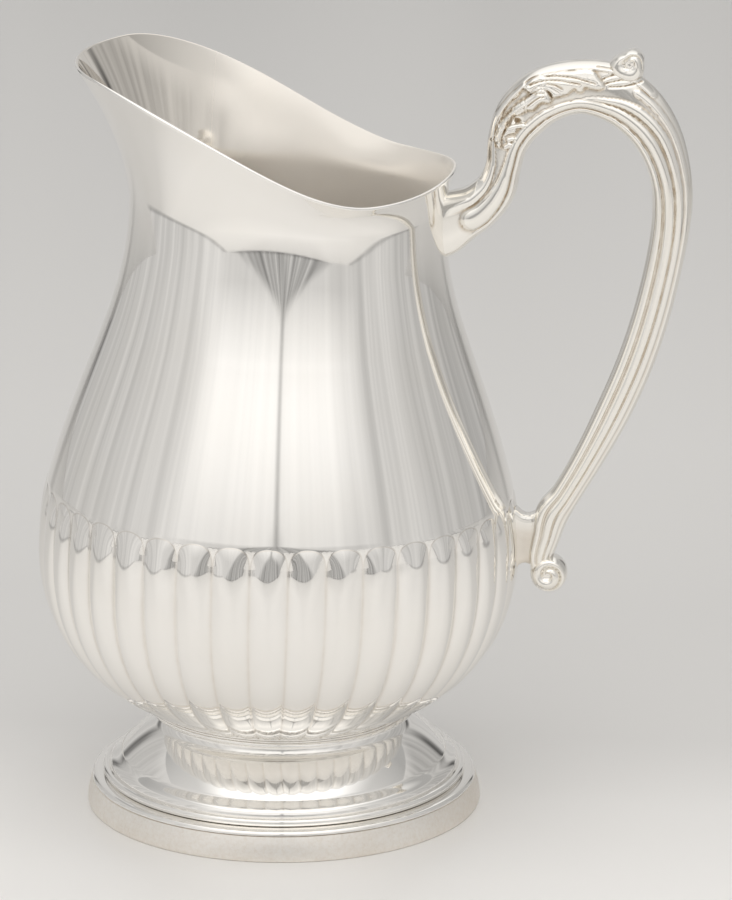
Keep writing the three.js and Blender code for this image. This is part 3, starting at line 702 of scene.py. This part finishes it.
def line_distance(x, z, line):
    """How far many points lie from a line."""
    nearest = np.full(x.shape, float(FAR))
    for (x0, z0), (x1, z1) in zip(line, line[1:]):
        dx, dz = x1 - x0, z1 - z0
        share = np.clip(((x - x0) * dx + (z - z0) * dz) / (dx * dx + dz * dz + 1e-9), 0, 1)
        nearest = np.minimum(nearest, np.hypot(x - x0 - share * dx, z - z0 - share * dz))
    return nearest


def inside_line(x, z, line):
    """Which of many points lie inside a closed line."""
    inside = np.zeros(x.shape, bool)
    for (x0, z0), (x1, z1) in zip(line, line[1:]):
        if z0 != z1:
            inside ^= ((z0 > z) != (z1 > z)) & (x < x0 + (z - z0) * (x1 - x0) / (z1 - z0))
    return inside


def leaf_height(x, z):
    """How far the leaf stands up at many points, and how deep they lie in its pit."""
    lift = np.zeros(x.shape)
    for height, outline in LEAF_LOBES:
        line = rounded(outline, 3, closed=True)
        reach = np.where(inside_line(x, z, line), line_distance(x, z, line), 0)
        edge = np.sqrt(1 - (1 - np.clip(reach / LEAF_EDGE, 0, 1)) ** 2)
        lift = np.maximum(lift, LEAF_LIFT * height * edge + LEAF_CROWN * reach)
    for curl in LEAF_CURLS:
        away = line_distance(x, z, rounded(curl, 3)) / CURL_WIDTH
        lift = np.maximum(lift, CURL_LIFT * np.sqrt(np.clip(1 - away * away, 0, 1)))
    for vein in LEAF_VEINS:
        lift -= VEIN_DEPTH * np.exp(-(line_distance(x, z, rounded(vein, 3)) / VEIN_WIDTH) ** 2)
    aside, above = (x - LEAF_PIT[0]) / PIT_REACH[0], (z - LEAF_PIT[1]) / PIT_REACH[1]
    pit = np.exp(-aside ** 2 - above ** 2)
    return lift - PIT_DEPTH * pit, pit


# %% Lay one half along the line
ACROSS = 72
STEP, LEAF_STEP, LEAF_STRETCH = 0.1, 0.03, (4.6, 11.6)  # in stations: rows lie closer along the leaf
DEPTH_AT_NECK, DEPTH_AT_TAIL = 12.6, 8.6
NUDGE, START_TRIES = 0.01, 25
LEAF_FADE = 2.5  # the leaf fades where the side is lower than this
# Sizes of the tarnish and painted shade in sunk places of the handle's side.
GROOVE_DEPTH, GROOVE_FLOOR, GROOVE_REACH, SEAM_COLUMNS = 0.3, 0.08, 3, 4
NECK_END = 4  # up to this station the rows are drawn together, so that they start at the body's wall
across_places = [-0.5 + k / ACROSS for k in range(ACROSS + 1)]
half_places = []
place = 0.0
while place < LAST:
    half_places.append(place)
    place += LEAF_STEP if LEAF_STRETCH[0] < place < LEAF_STRETCH[1] else STEP
half_places.append(LAST)


def wall_radius(height):
    """Outer radius of the upper body on the handle's side."""
    reach, top = lip_edge(0)
    if height > NECK_HEIGHT:
        return mix(NECK_RADIUS, reach, min((height - NECK_HEIGHT) / (top - NECK_HEIGHT), 1) ** LIP_CURL)
    return from_table([(z, r) for r, z in shoulder_line], height)


def side_point(place, swing):
    """Where the handle's side lies at a place along it and a swing across it: x, height and z."""
    x, z, width = station_at(place)
    x0, z0, _ = station_at(max(place - NUDGE, 0))
    x1, z1, _ = station_at(min(place + NUDGE, LAST))
    length = math.hypot(x1 - x0, z1 - z0)
    depth = mix(DEPTH_AT_NECK, DEPTH_AT_TAIL, place / LAST) / 2
    height = face_height(place, swing, depth, width)
    return x - (z1 - z0) / length * swing * width, height, z + (x1 - x0) / length * swing * width


def column_start(swing):
    """The place along the handle where this swing comes out of the body's wall."""
    for k in range(NECK_END * START_TRIES):
        place = NECK_END - k / START_TRIES
        x, height, z = side_point(place, swing)
        if math.hypot(x, height) < wall_radius(z) - SHEET / 2:
            return place
    return 0.0


def plain_side():
    """Every point of the side before the leaf, as rows along the handle."""
    swings = [0.5 * math.sin(math.pi * u) for u in across_places]
    starts = [column_start(swing) for swing in swings]
    side = []
    for place in half_places:
        share = max(1 - place / NECK_END, 0)
        side.append([side_point(place + start * share, swing) for start, swing in zip(starts, swings)])
    return np.array(side).transpose(2, 0, 1)


def soften(values, reach):
    """Averages a sheet of numbers over their neighbours."""
    for axis in (0, 1):
        padded = np.pad(values, [(reach, reach) if a == axis else (0, 0) for a in (0, 1)], mode="edge")
        count, width = values.shape[axis], 2 * reach + 1
        values = sum(np.take(padded, range(k, k + count), axis) for k in range(width)) / width
    return values


side_x, side_h, side_z = plain_side()
leaf, pit = leaf_height(side_x - NECK_JOINT[0], side_z - NECK_JOINT[1])
side_h = side_h + leaf * np.clip(side_h / LEAF_FADE, 0, 1)
# Points sunk below their neighbours, and the leaf's pit, get tarnish and painted shade.
sunk = soften(side_h, GROOVE_REACH) - side_h
side_tarnish_shade = np.clip(sunk / GROOVE_DEPTH - GROOVE_FLOOR, 0, 1) + pit
side_tarnish_shade[:, :SEAM_COLUMNS] = side_tarnish_shade[:, -SEAM_COLUMNS:] = 0
print("leaf stands up to", round(float(leaf.max()), 2), "mm proud")


# %% Build both halves
def handle_half(name, side):
    """One half: its last column meets the first again and closes the flat back."""
    def half_point(column, row):
        at = (row, column % (ACROSS + 1))
        return (side_x[at], side * side_h[at], side_z[at]), side_tarnish_shade[at]

    piece = lay_grid(name, ACROSS + 1, len(half_places), half_point)
    bpy.ops.mesh.remove_doubles(threshold=MERGE_WITHIN * MM)
    bpy.ops.mesh.fill_holes(sides=0)
    close_mesh()
    return piece


near_half = handle_half("handle_near_side", -1)
set_piece(near_half, "handle_near_half", slot="tarnished_silver", smooth=60)
far_half = handle_half("handle_far_side", 1)
set_piece(far_half, "handle_far_half", slot="tarnished_silver", smooth=60)

# %% [markdown]
# ## Rolled ends and strut
# Both ends of the handle's back are rolled up: a small thumb scroll on top and a larger one at the tail.
# Each is a round boss with a ridge that winds into its eye. A tube wound along a spiral would leave gaps
# at its joins, so the boss is pulled as rings from one eye over the edge to the other, and the ridge is
# part of the rings. A short waisted block, the strut, holds the tail off the bowl.


# %% Rolled ends
SCROLL_COLUMNS, SCROLL_ROWS = 72, 30
EYE_HIGH, EYE_SHARE, BOSS_SHARE = 0.9, 0.3, 0.7


def boss_height(reach, turn, radius, depth, start, winds):
    """How far a rolled end stands out at a reach from its eye, with the ridge that winds inwards."""
    share = reach / radius
    pitch = radius / winds
    phase = ((radius - reach) / pitch - (turn - start) / (2 * math.pi)) % 1
    ridge = 0.5 * pitch * math.sqrt(max(1 - (2 * phase - 1) ** 2, 0)) * ease(share, 0.1, 0.35)
    eye = EYE_HIGH * math.sqrt(max(1 - (share / EYE_SHARE) ** 2, 0))
    edge = (1 - share ** 7) ** 0.5
    return (depth * BOSS_SHARE + ridge + eye) * edge


def rolled_end(name, centre, radius, depth, start, winds, roots=()):
    """A boss with a winding ridge, drawn out towards its roots: (direction, reach, narrowness)."""
    turns = [2 * math.pi * k / SCROLL_COLUMNS for k in range(SCROLL_COLUMNS)]
    drawn = [1.0] * SCROLL_COLUMNS
    for toward, reach, narrow in roots:
        facing = [max(math.cos(t - math.radians(toward)), 0) for t in turns]
        drawn = [d + reach * f ** narrow for d, f in zip(drawn, facing)]
    steps = [math.pi / 2 * (k + 0.3) / SCROLL_ROWS for k in range(SCROLL_ROWS)]
    reaches = [radius * math.sin(step) for step in steps] + [radius]
    rings = []
    for side, order in ((-1, reaches), (1, reaches[-2::-1])):
        for reach in order:
            heights = [boss_height(reach, t, radius, depth, math.radians(start), winds) for t in turns]
            rings.append([
                (centre[0] + reach * d * math.cos(t), side * h, centre[1] + reach * d * math.sin(t))
                for t, h, d in zip(turns, heights, drawn)
            ])
    piece = pull_rings(name, rings)
    bpy.ops.mesh.edge_face_add()
    bpy.ops.mesh.select_all(action="DESELECT")
    mesh = bmesh.from_edit_mesh(piece.data)
    mesh.verts.ensure_lookup_table()
    for k in range(SCROLL_COLUMNS):
        mesh.verts[k].select = True
    mesh.select_flush_mode()
    bpy.ops.mesh.edge_face_add()
    close_mesh()
    return piece


thumb_place = (NECK_JOINT[0] + 53.2, NECK_JOINT[1] + 52.2)
thumb_roots = [(-95, 1.0, 2), (198, 1.0, 5)]
thumb_scroll = rolled_end("thumb_scroll", thumb_place, radius=3.45, depth=4.6, start=-90, winds=1.25,
                          roots=thumb_roots)
set_piece(thumb_scroll, "handle_near_half", "handle_far_half", slot="tarnished_silver", smooth=60)
tail_place = (STRUT_JOINT[0] + 5.5, STRUT_JOINT[1] - 10.5)
tail_scroll = rolled_end("tail_scroll", tail_place, radius=5.65, depth=4.4, start=180, winds=1.4)
set_piece(tail_scroll, "handle_near_half", "handle_far_half", slot="tarnished_silver", smooth=60)

# %% Strut
STRUT_IN_BOWL, STRUT_IN_HANDLE = 2.0, 2.6
STRUT_HALF_HEIGHT, FLARE_UP, FLARE_DOWN = 7.4, 3.2, 4.6
STRUT_HALF_WIDTH, FLARE_ASIDE, FLARE_CURVE = 2.6, 0.9, 2.2
clear_selection()
bpy.ops.mesh.primitive_cube_add(size=2)
strut = name_piece("waisted_strut")
edit_all()
bpy.ops.mesh.bevel(offset=0.3, segments=3)
bpy.ops.mesh.select_all(action="SELECT")
bpy.ops.mesh.subdivide(number_cuts=5)
mesh = bmesh.from_edit_mesh(strut.data)
marks = mesh.verts.layers.float.new("groove")
for vertex in mesh.verts:
    along, across, up = (vertex.co.x + 1) / 2, vertex.co.y, vertex.co.z
    # The strut's lower part is painted darker towards its bottom through the tarnish-and-shade mark.
    vertex[marks] = 0.5 * (1 - ease(up, 0.1, 0.7))
    flare = abs(2 * along - 1) ** FLARE_CURVE
    x = mix(BELLY_RADIUS - STRUT_IN_BOWL, STRUT_JOINT[0] + STRUT_IN_HANDLE, along)
    z = STRUT_JOINT[1] + up * (STRUT_HALF_HEIGHT + (FLARE_UP if up > 0 else FLARE_DOWN) * flare)
    vertex.co = Vector((x, across * (STRUT_HALF_WIDTH + FLARE_ASIDE * flare), z)) * MM
bmesh.update_edit_mesh(strut.data)
close_mesh()
set_piece(strut, "lower_strut", slot="tarnished_silver", smooth=60)

# %% [markdown]
# ## Silver
# Silver plate is a nearly clean mirror with a faint warm cast. Hand polishing leaves fine hairlines and
# cloudy patches that show in the roughness, and tarnish stays in grooves where a cloth doesn't reach; the
# same darkening in grooves, creases, pits and round the domes is also painted shade. The shader sums are
# written as Python expressions: the class below wraps a socket, and each operator adds one Math node.


# %% Sockets as expressions
class Wire:
    """A node tree's socket: operators add Math nodes, and node() adds any other kind."""

    def __init__(self, tree, socket=None):
        self.tree, self.socket = tree, socket

    def node(self, kind, settings=(), out=0, **sockets):
        """Adds a node: its settings first, then values or links by socket name, _ for a space."""
        made = self.tree.nodes.new(kind)
        for name, value in dict(settings).items():
            if name == "stops":
                while len(made.color_ramp.elements) < len(value):
                    made.color_ramp.elements.new(0.5)
                for stop, (place, colour) in zip(made.color_ramp.elements, value):
                    stop.position, stop.color = place, colour
            else:
                setattr(made, name, value)
        for name, value in sockets.items():
            key = int(name[1:]) if name[1:].isdigit() else name.replace("_", " ")
            if isinstance(value, Wire):
                self.tree.links.new(value.socket, made.inputs[key])
            else:
                made.inputs[key].default_value = value
        return Wire(self.tree, made.outputs[out]) if made.outputs else made

    def maths(self, operation, a, b=0.0):
        return self.node("ShaderNodeMath", {"operation": operation}, i0=a, i1=b)

    def axis(self, k):
        """One of the three numbers of a place."""
        return self.node("ShaderNodeSeparateXYZ", out=k, Vector=self)

    def noise(self, scale, detail, roughness):
        return self.node("ShaderNodeTexNoise", Vector=self, Scale=scale, Detail=detail, Roughness=roughness)

    def ramp(self, low, high, start=0.0, end=1.0, soft=False):
        """Takes one range of values to another and holds it at both ends."""
        settings = {"interpolation_type": "SMOOTHSTEP"} if soft else ()
        return self.node("ShaderNodeMapRange", settings, Value=self, i1=low, i2=high, i3=start, i4=end)

    def __add__(self, other):
        return self.maths("ADD", self, other)

    def __sub__(self, other):
        return self.maths("SUBTRACT", self, other)

    def __rsub__(self, other):
        return self.maths("SUBTRACT", other, self)

    def __mul__(self, other):
        return self.maths("MULTIPLY", self, other)

    def __truediv__(self, other):
        return self.maths("DIVIDE", self, other)

    def __pow__(self, other):
        return self.maths("POWER", self, other)

    __radd__, __rmul__ = __add__, __mul__


def new_finish(name):
    """An empty material and the wire that its nodes are added through."""
    finish = bpy.data.materials.new(name)
    finish.use_nodes = True
    finish.node_tree.nodes.clear()
    return finish, Wire(finish.node_tree)


def dress(piece, finish, wire, shade):
    wire.node("ShaderNodeOutputMaterial", Surface=shade)
    piece.data.materials.append(finish)


# %% The polished finish
# Colour of the tarnish and painted shade in grooves, creases and pits.
TARNISH_AND_SHADE = (0.54, 0.45, 0.34, 1)
LINING_RUN, SPOUT_ROUGHNESS = (-0.07, -0.02), 0.2  # x from the spout to the dull inside, in metres


def silver(name, colour, tarnish, roughness, cloud, hairline, speckle=0.0, metal=1.0):
    """Polished silver, or with less metal a lining that turns duller away from the spout."""
    finish, wire = new_finish(name)
    place = wire.node("ShaderNodeTexCoord", out="Object")
    groove = wire.node("ShaderNodeAttribute", {"attribute_name": "groove"}, out="Fac")
    patches, tarnish_shade_noise = place.noise(38.0, 3.0, 0.6), place.noise(260.0, 2.0, 0.6)
    grain = place.noise(900.0, 2.0, 0.7)
    stretch = wire.node("ShaderNodeMapping", Vector=place, Rotation=(0.4, 0.2, 0.7), Scale=(900, 60, 240))
    lines = stretch.noise(1.0, 2.0, 0.7)
    blend = {"data_type": "RGBA"}
    dull = patches ** 2 * 0.6 + grain ** 2 * speckle
    tone = wire.node("ShaderNodeMix", blend, out=2, i0=dull, i6=colour, i7=tarnish)
    # Marked places turn towards that colour: tarnish and painted shade where light reaches less.
    deep = groove * (0.35 + tarnish_shade_noise)
    tone = wire.node("ShaderNodeMix", blend, out=2, i0=deep, i6=tone, i7=TARNISH_AND_SHADE)
    rough = roughness + patches ** 2 * cloud + lines ** 3 * hairline + deep * 0.2
    if metal < 1:
        metal = place.axis(0).ramp(*LINING_RUN, 1.0, metal, soft=True)
        rough = rough * place.axis(0).ramp(*LINING_RUN, SPOUT_ROUGHNESS, 1.0, soft=True)
    shade = wire.node("ShaderNodeBsdfPrincipled", Base_Color=tone, Roughness=rough, Metallic=metal)
    wire.node("ShaderNodeOutputMaterial", Surface=shade)
    return finish


bright = silver("bright_silver", (0.93, 0.915, 0.89, 1), (0.88, 0.85, 0.79, 1), 0.02, 0.06, 0.08)
satin = silver("satin_silver", (0.98, 0.96, 0.925, 1), (0.78, 0.7, 0.6, 1), 0.32, 0.2, 0.2, speckle=0.7)
tarnished = silver("tarnished_silver", (0.92, 0.9, 0.86, 1), (0.84, 0.79, 0.7, 1), 0.05, 0.1, 0.1)
lining = silver("silver_lining", (0.9, 0.86, 0.8, 1), (0.82, 0.76, 0.68, 1), 0.19, 0.1, 0.1, metal=0.25)
finishes = {"bright_silver": bright, "satin_silver": satin, "tarnished_silver": tarnished}
dressed = (foot_band, pedestal, waist_ring, lower_bowl, upper_body, near_half, far_half)
for piece in dressed + (thumb_scroll, tail_scroll, strut):
    piece.data.materials.clear()
    piece.data.materials.append(finishes[piece["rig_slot"]])
print("finishes:", sorted(finishes))

# %% The scored line and the polished shoulder
# The scored line gets tarnish and painted shade.
mark_tarnish_shade(foot_band, [float(abs(v.co.z / MM - SCORE_HEIGHT) < 0.05) for v in foot_band.data.vertices])
foot_band.data.materials.append(bright)
for face in foot_band.data.polygons:
    face.material_index = int(face.center.z > SCORE_HEIGHT * MM)

# %% The duller inside
axis_place = Vector((AXIS_X * MM, 0, 0))
for piece in (upper_body, lower_bowl):
    piece.data.materials.append(lining)
    for face in piece.data.polygons:
        away = face.center - axis_place
        away.z = 0
        face.material_index = int(face.normal.dot(away.normalized()) - 0.3 * face.normal.z < 0)

# %% [markdown]
# ## Table and light tent
# Polished silver shows what stands round it more than its own colour. The pitcher stands on a pale table
# in a soft tent: a bright ceiling, two pleated curtains that meet in front, and a plain backdrop behind.
# The camera sees only the table, and the silver sees all of it. The white cloth on the table is widest in
# front, so beyond its edges the silver sees the curtains down to below the table.

# %% Brightness of the curtains
# Both angles are in degrees as seen from the pitcher: sideways from the camera, and up from the level.
EYE_HEIGHT = 0.14
CAMERA_TURN = math.radians(6.17)
MEET = -0.5  # where the curtains meet
FAN_TOP, FAN_RISE, FAN_REACH, FAN_BEND = 15.0, 23.0, 38.0, 1.7
FAN_LEVEL, FAN_CONTRAST, PLEAT_CONTRAST = 0.44, 1.2, 0.55
SLIT_DEPTH, NOTCH_AT, NOTCH_DEPTH, DARKEST = 0.36, 147.5, 0.32, 0.05
light_plan = [
    (-180, 0.6), (-154, 0.58), (-146, 0.5), (-126, 0.57), (-95, 0.61), (-75, 0.65), (-60, 0.71),
    (-50, 0.88), (-40, 0.98), (30, 0.98), (38, 0.86), (46, 0.78), (53, 0.63), (72, 0.68), (86, 0.54),
    (104, 0.53), (118, 0.45), (139, 0.44), (154, 0.56), (180, 0.6),
]


def curtain_colour(wire, dim=1.0):
    """Colour of the curtains at each place of the tent or the table."""
    place = wire.node("ShaderNodeTexCoord", out="Object")
    x, y, z = place.axis(0) - AXIS_X * MM, place.axis(1), place.axis(2) - EYE_HEIGHT
    to_right = x * math.cos(CAMERA_TURN) + y * math.sin(CAMERA_TURN)
    to_camera = x * math.sin(CAMERA_TURN) - y * math.cos(CAMERA_TURN)
    side = wire.maths("ARCTAN2", to_right, to_camera) * math.degrees(1)
    up = wire.maths("ARCTAN2", z, wire.maths("SQRT", x * x + y * y)) * math.degrees(1)
    off_meet = side - MEET
    off_front = wire.maths("ABSOLUTE", off_meet)
    stops = [((a + 180) / 360, (v, v, v, 1)) for a, v in light_plan]
    glow = wire.node("ShaderNodeValToRGB", {"stops": stops}, Fac=(side + 180) / 360)
    pleat_place = wire.node("ShaderNodeCombineXYZ", X=side * 0.2, Y=up * 0.008)
    pleats = pleat_place.noise(1.0, 3.0, 0.6)
    fan_turn = wire.maths("ARCTAN2", off_meet, FAN_TOP - up)
    fan = wire.node("ShaderNodeCombineXYZ", X=fan_turn * 8, Y=up * 0.01).noise(1.0, 2.0, 0.6)
    fan_edge = (wire.maths("MAXIMUM", FAN_TOP - up, 0.0) / FAN_RISE) ** FAN_BEND * FAN_REACH
    in_fan = (off_front - fan_edge).ramp(3.0, -6.0, soft=True)
    front, slit = off_front.ramp(58.0, 38.0), off_front.ramp(1.8, 0.3)
    rise = up.ramp(2.0, 24.0, -0.3, 0.14)
    sides = off_front.ramp(50.0, 75.0, soft=True)
    high, low = up.ramp(24.0, 36.0, soft=True), up.ramp(22.0, 8.0, soft=True)
    notch = wire.maths("ABSOLUTE", off_front - NOTCH_AT).ramp(6.0, 1.0, soft=True)
    cloth = glow * (1 + front * rise) + (pleats - 0.5) * PLEAT_CONTRAST * (1 - front * 0.6)
    cloth = cloth - slit * SLIT_DEPTH - notch * low * NOTCH_DEPTH
    cloth = cloth + in_fan * (FAN_LEVEL + (fan - 0.5) * FAN_CONTRAST - cloth)
    level = wire.maths("MAXIMUM", cloth + high * (1 - sides * 0.3 - cloth), DARKEST) * dim
    return wire.node("ShaderNodeCombineColor", Red=level, Green=level * 0.985, Blue=level * 0.965)


# %% Table
# The cloth's edges are in metres from the middle, and its two sides run in towards the back.
TABLE_RADIUS, TABLE_BACK = 3.0, 0.8
RIGHT_EDGE, RIGHT_SLANT, LEFT_EDGE, LEFT_SLANT, FRONT_EDGE = 0.605, 0.486, 0.595, 0.171, 1.08
TONE_FROM, TONE_RUN = -0.9, 2.2
clear_selection()
bpy.ops.mesh.primitive_circle_add(
    vertices=128, radius=TABLE_RADIUS, fill_type="NGON", location=(0, TABLE_BACK, 0))
table = name_piece("table")
bpy.ops.object.transform_apply(location=True)
table_finish, wire = new_finish("pale_table_painted_light")
place = wire.node("ShaderNodeTexCoord", out="Object")
width, depth = place.axis(0), place.axis(1)
# The table's colour holds painted light and shade: brightest in front of the pitcher, a painted shadow just
# behind its foot, and darker towards the back.
painted_light_plan = [
    (-0.9, 0.99), (-0.45, 0.99), (-0.25, 0.92), (-0.07, 0.93), (0.0, 0.86), (0.06, 0.74), (0.2, 0.71),
    (0.4, 0.73), (0.7, 0.7), (1.3, 0.65),
]
stops = [((d - TONE_FROM) / TONE_RUN, (v, v * 0.985, v * 0.962, 1)) for d, v in painted_light_plan]
tone = wire.node("ShaderNodeValToRGB", {"stops": stops}, Fac=(depth - TONE_FROM) / TONE_RUN)
past_right = width - RIGHT_EDGE + RIGHT_SLANT * depth
past_left = -LEFT_EDGE - width + LEFT_SLANT * depth
past_front = -FRONT_EDGE - depth
aside = wire.maths("MAXIMUM", past_right, past_left)
off_side = aside.ramp(-0.02, 0.05) * depth.ramp(0.26, 0.2)
off = wire.maths("MAXIMUM", off_side, past_front.ramp(-0.02, 0.02))
# Past the cloth's edges the table glows with painted curtain light for all rays but the camera's, so the
# silver sees curtains there.
seen = wire.node("ShaderNodeLightPath", out="Is Camera Ray")
cloth = wire.node("ShaderNodeBsdfPrincipled", Base_Color=tone, Roughness=0.22, Specular_IOR_Level=0.3)
hem = wire.maths("MAXIMUM", aside, past_front).ramp(0.02, 0.1, 0.5, 1.0)
beyond = wire.node("ShaderNodeEmission", Color=curtain_colour(wire, dim=hem), Strength=1.0)
shade = wire.node("ShaderNodeMixShader", i0=off * (1 - seen), i1=cloth, i2=beyond)
dress(table, table_finish, wire, shade)

# %% Tent wall
TENT_RADIUS, TENT_BACK, TENT_HIGH, TENT_LOW = 1.75, 0.5, 1.35, -0.7
clear_selection()
bpy.ops.mesh.primitive_circle_add(vertices=192, radius=TENT_RADIUS)
tent = name_piece("tent_wall")
edit_all()
bpy.ops.transform.translate(value=(AXIS_X * MM, TENT_BACK, TENT_LOW))
bpy.ops.mesh.extrude_region_move(TRANSFORM_OT_translate={"value": (0, 0, TENT_HIGH - TENT_LOW)})
bpy.ops.object.mode_set(mode="OBJECT")
tent.visible_camera = False
wall_finish, wire = new_finish("pleated_curtains")
light = wire.node("ShaderNodeEmission", Color=curtain_colour(wire), Strength=1.0)
dress(tent, wall_finish, wire, light)

# %% Ceiling
CEILING_MIDDLE, CEILING_SIDE, CEILING_LEAST, CEILING_FALL = 1.24, 0.62, 0.42, 0.2
clear_selection()
bpy.ops.mesh.primitive_circle_add(vertices=96, radius=TENT_RADIUS, fill_type="NGON")
ceiling = name_piece("ceiling")
ceiling.data.transform(Matrix.Translation((AXIS_X * MM, TENT_BACK, TENT_HIGH)))
ceiling.visible_camera = False
ceiling_finish, wire = new_finish("soft_ceiling")
place = wire.node("ShaderNodeTexCoord", out="Object")
aside = wire.maths("ABSOLUTE", place.axis(0))
across = aside.ramp(0.6, 1.2, CEILING_MIDDLE, CEILING_SIDE, soft=True)
level = wire.maths("MAXIMUM", across - CEILING_FALL * place.axis(1), CEILING_LEAST)
warm = wire.node("ShaderNodeCombineColor", Red=level, Green=level * 0.99, Blue=level * 0.975)
light = wire.node("ShaderNodeEmission", Color=warm, Strength=1.0)
dress(ceiling, ceiling_finish, wire, light)

# %% World
world = bpy.data.worlds.new("studio")
world.use_nodes = True
world.node_tree.nodes["Background"].inputs["Color"].default_value = (0.6, 0.585, 0.565, 1)
bpy.context.scene.world = world
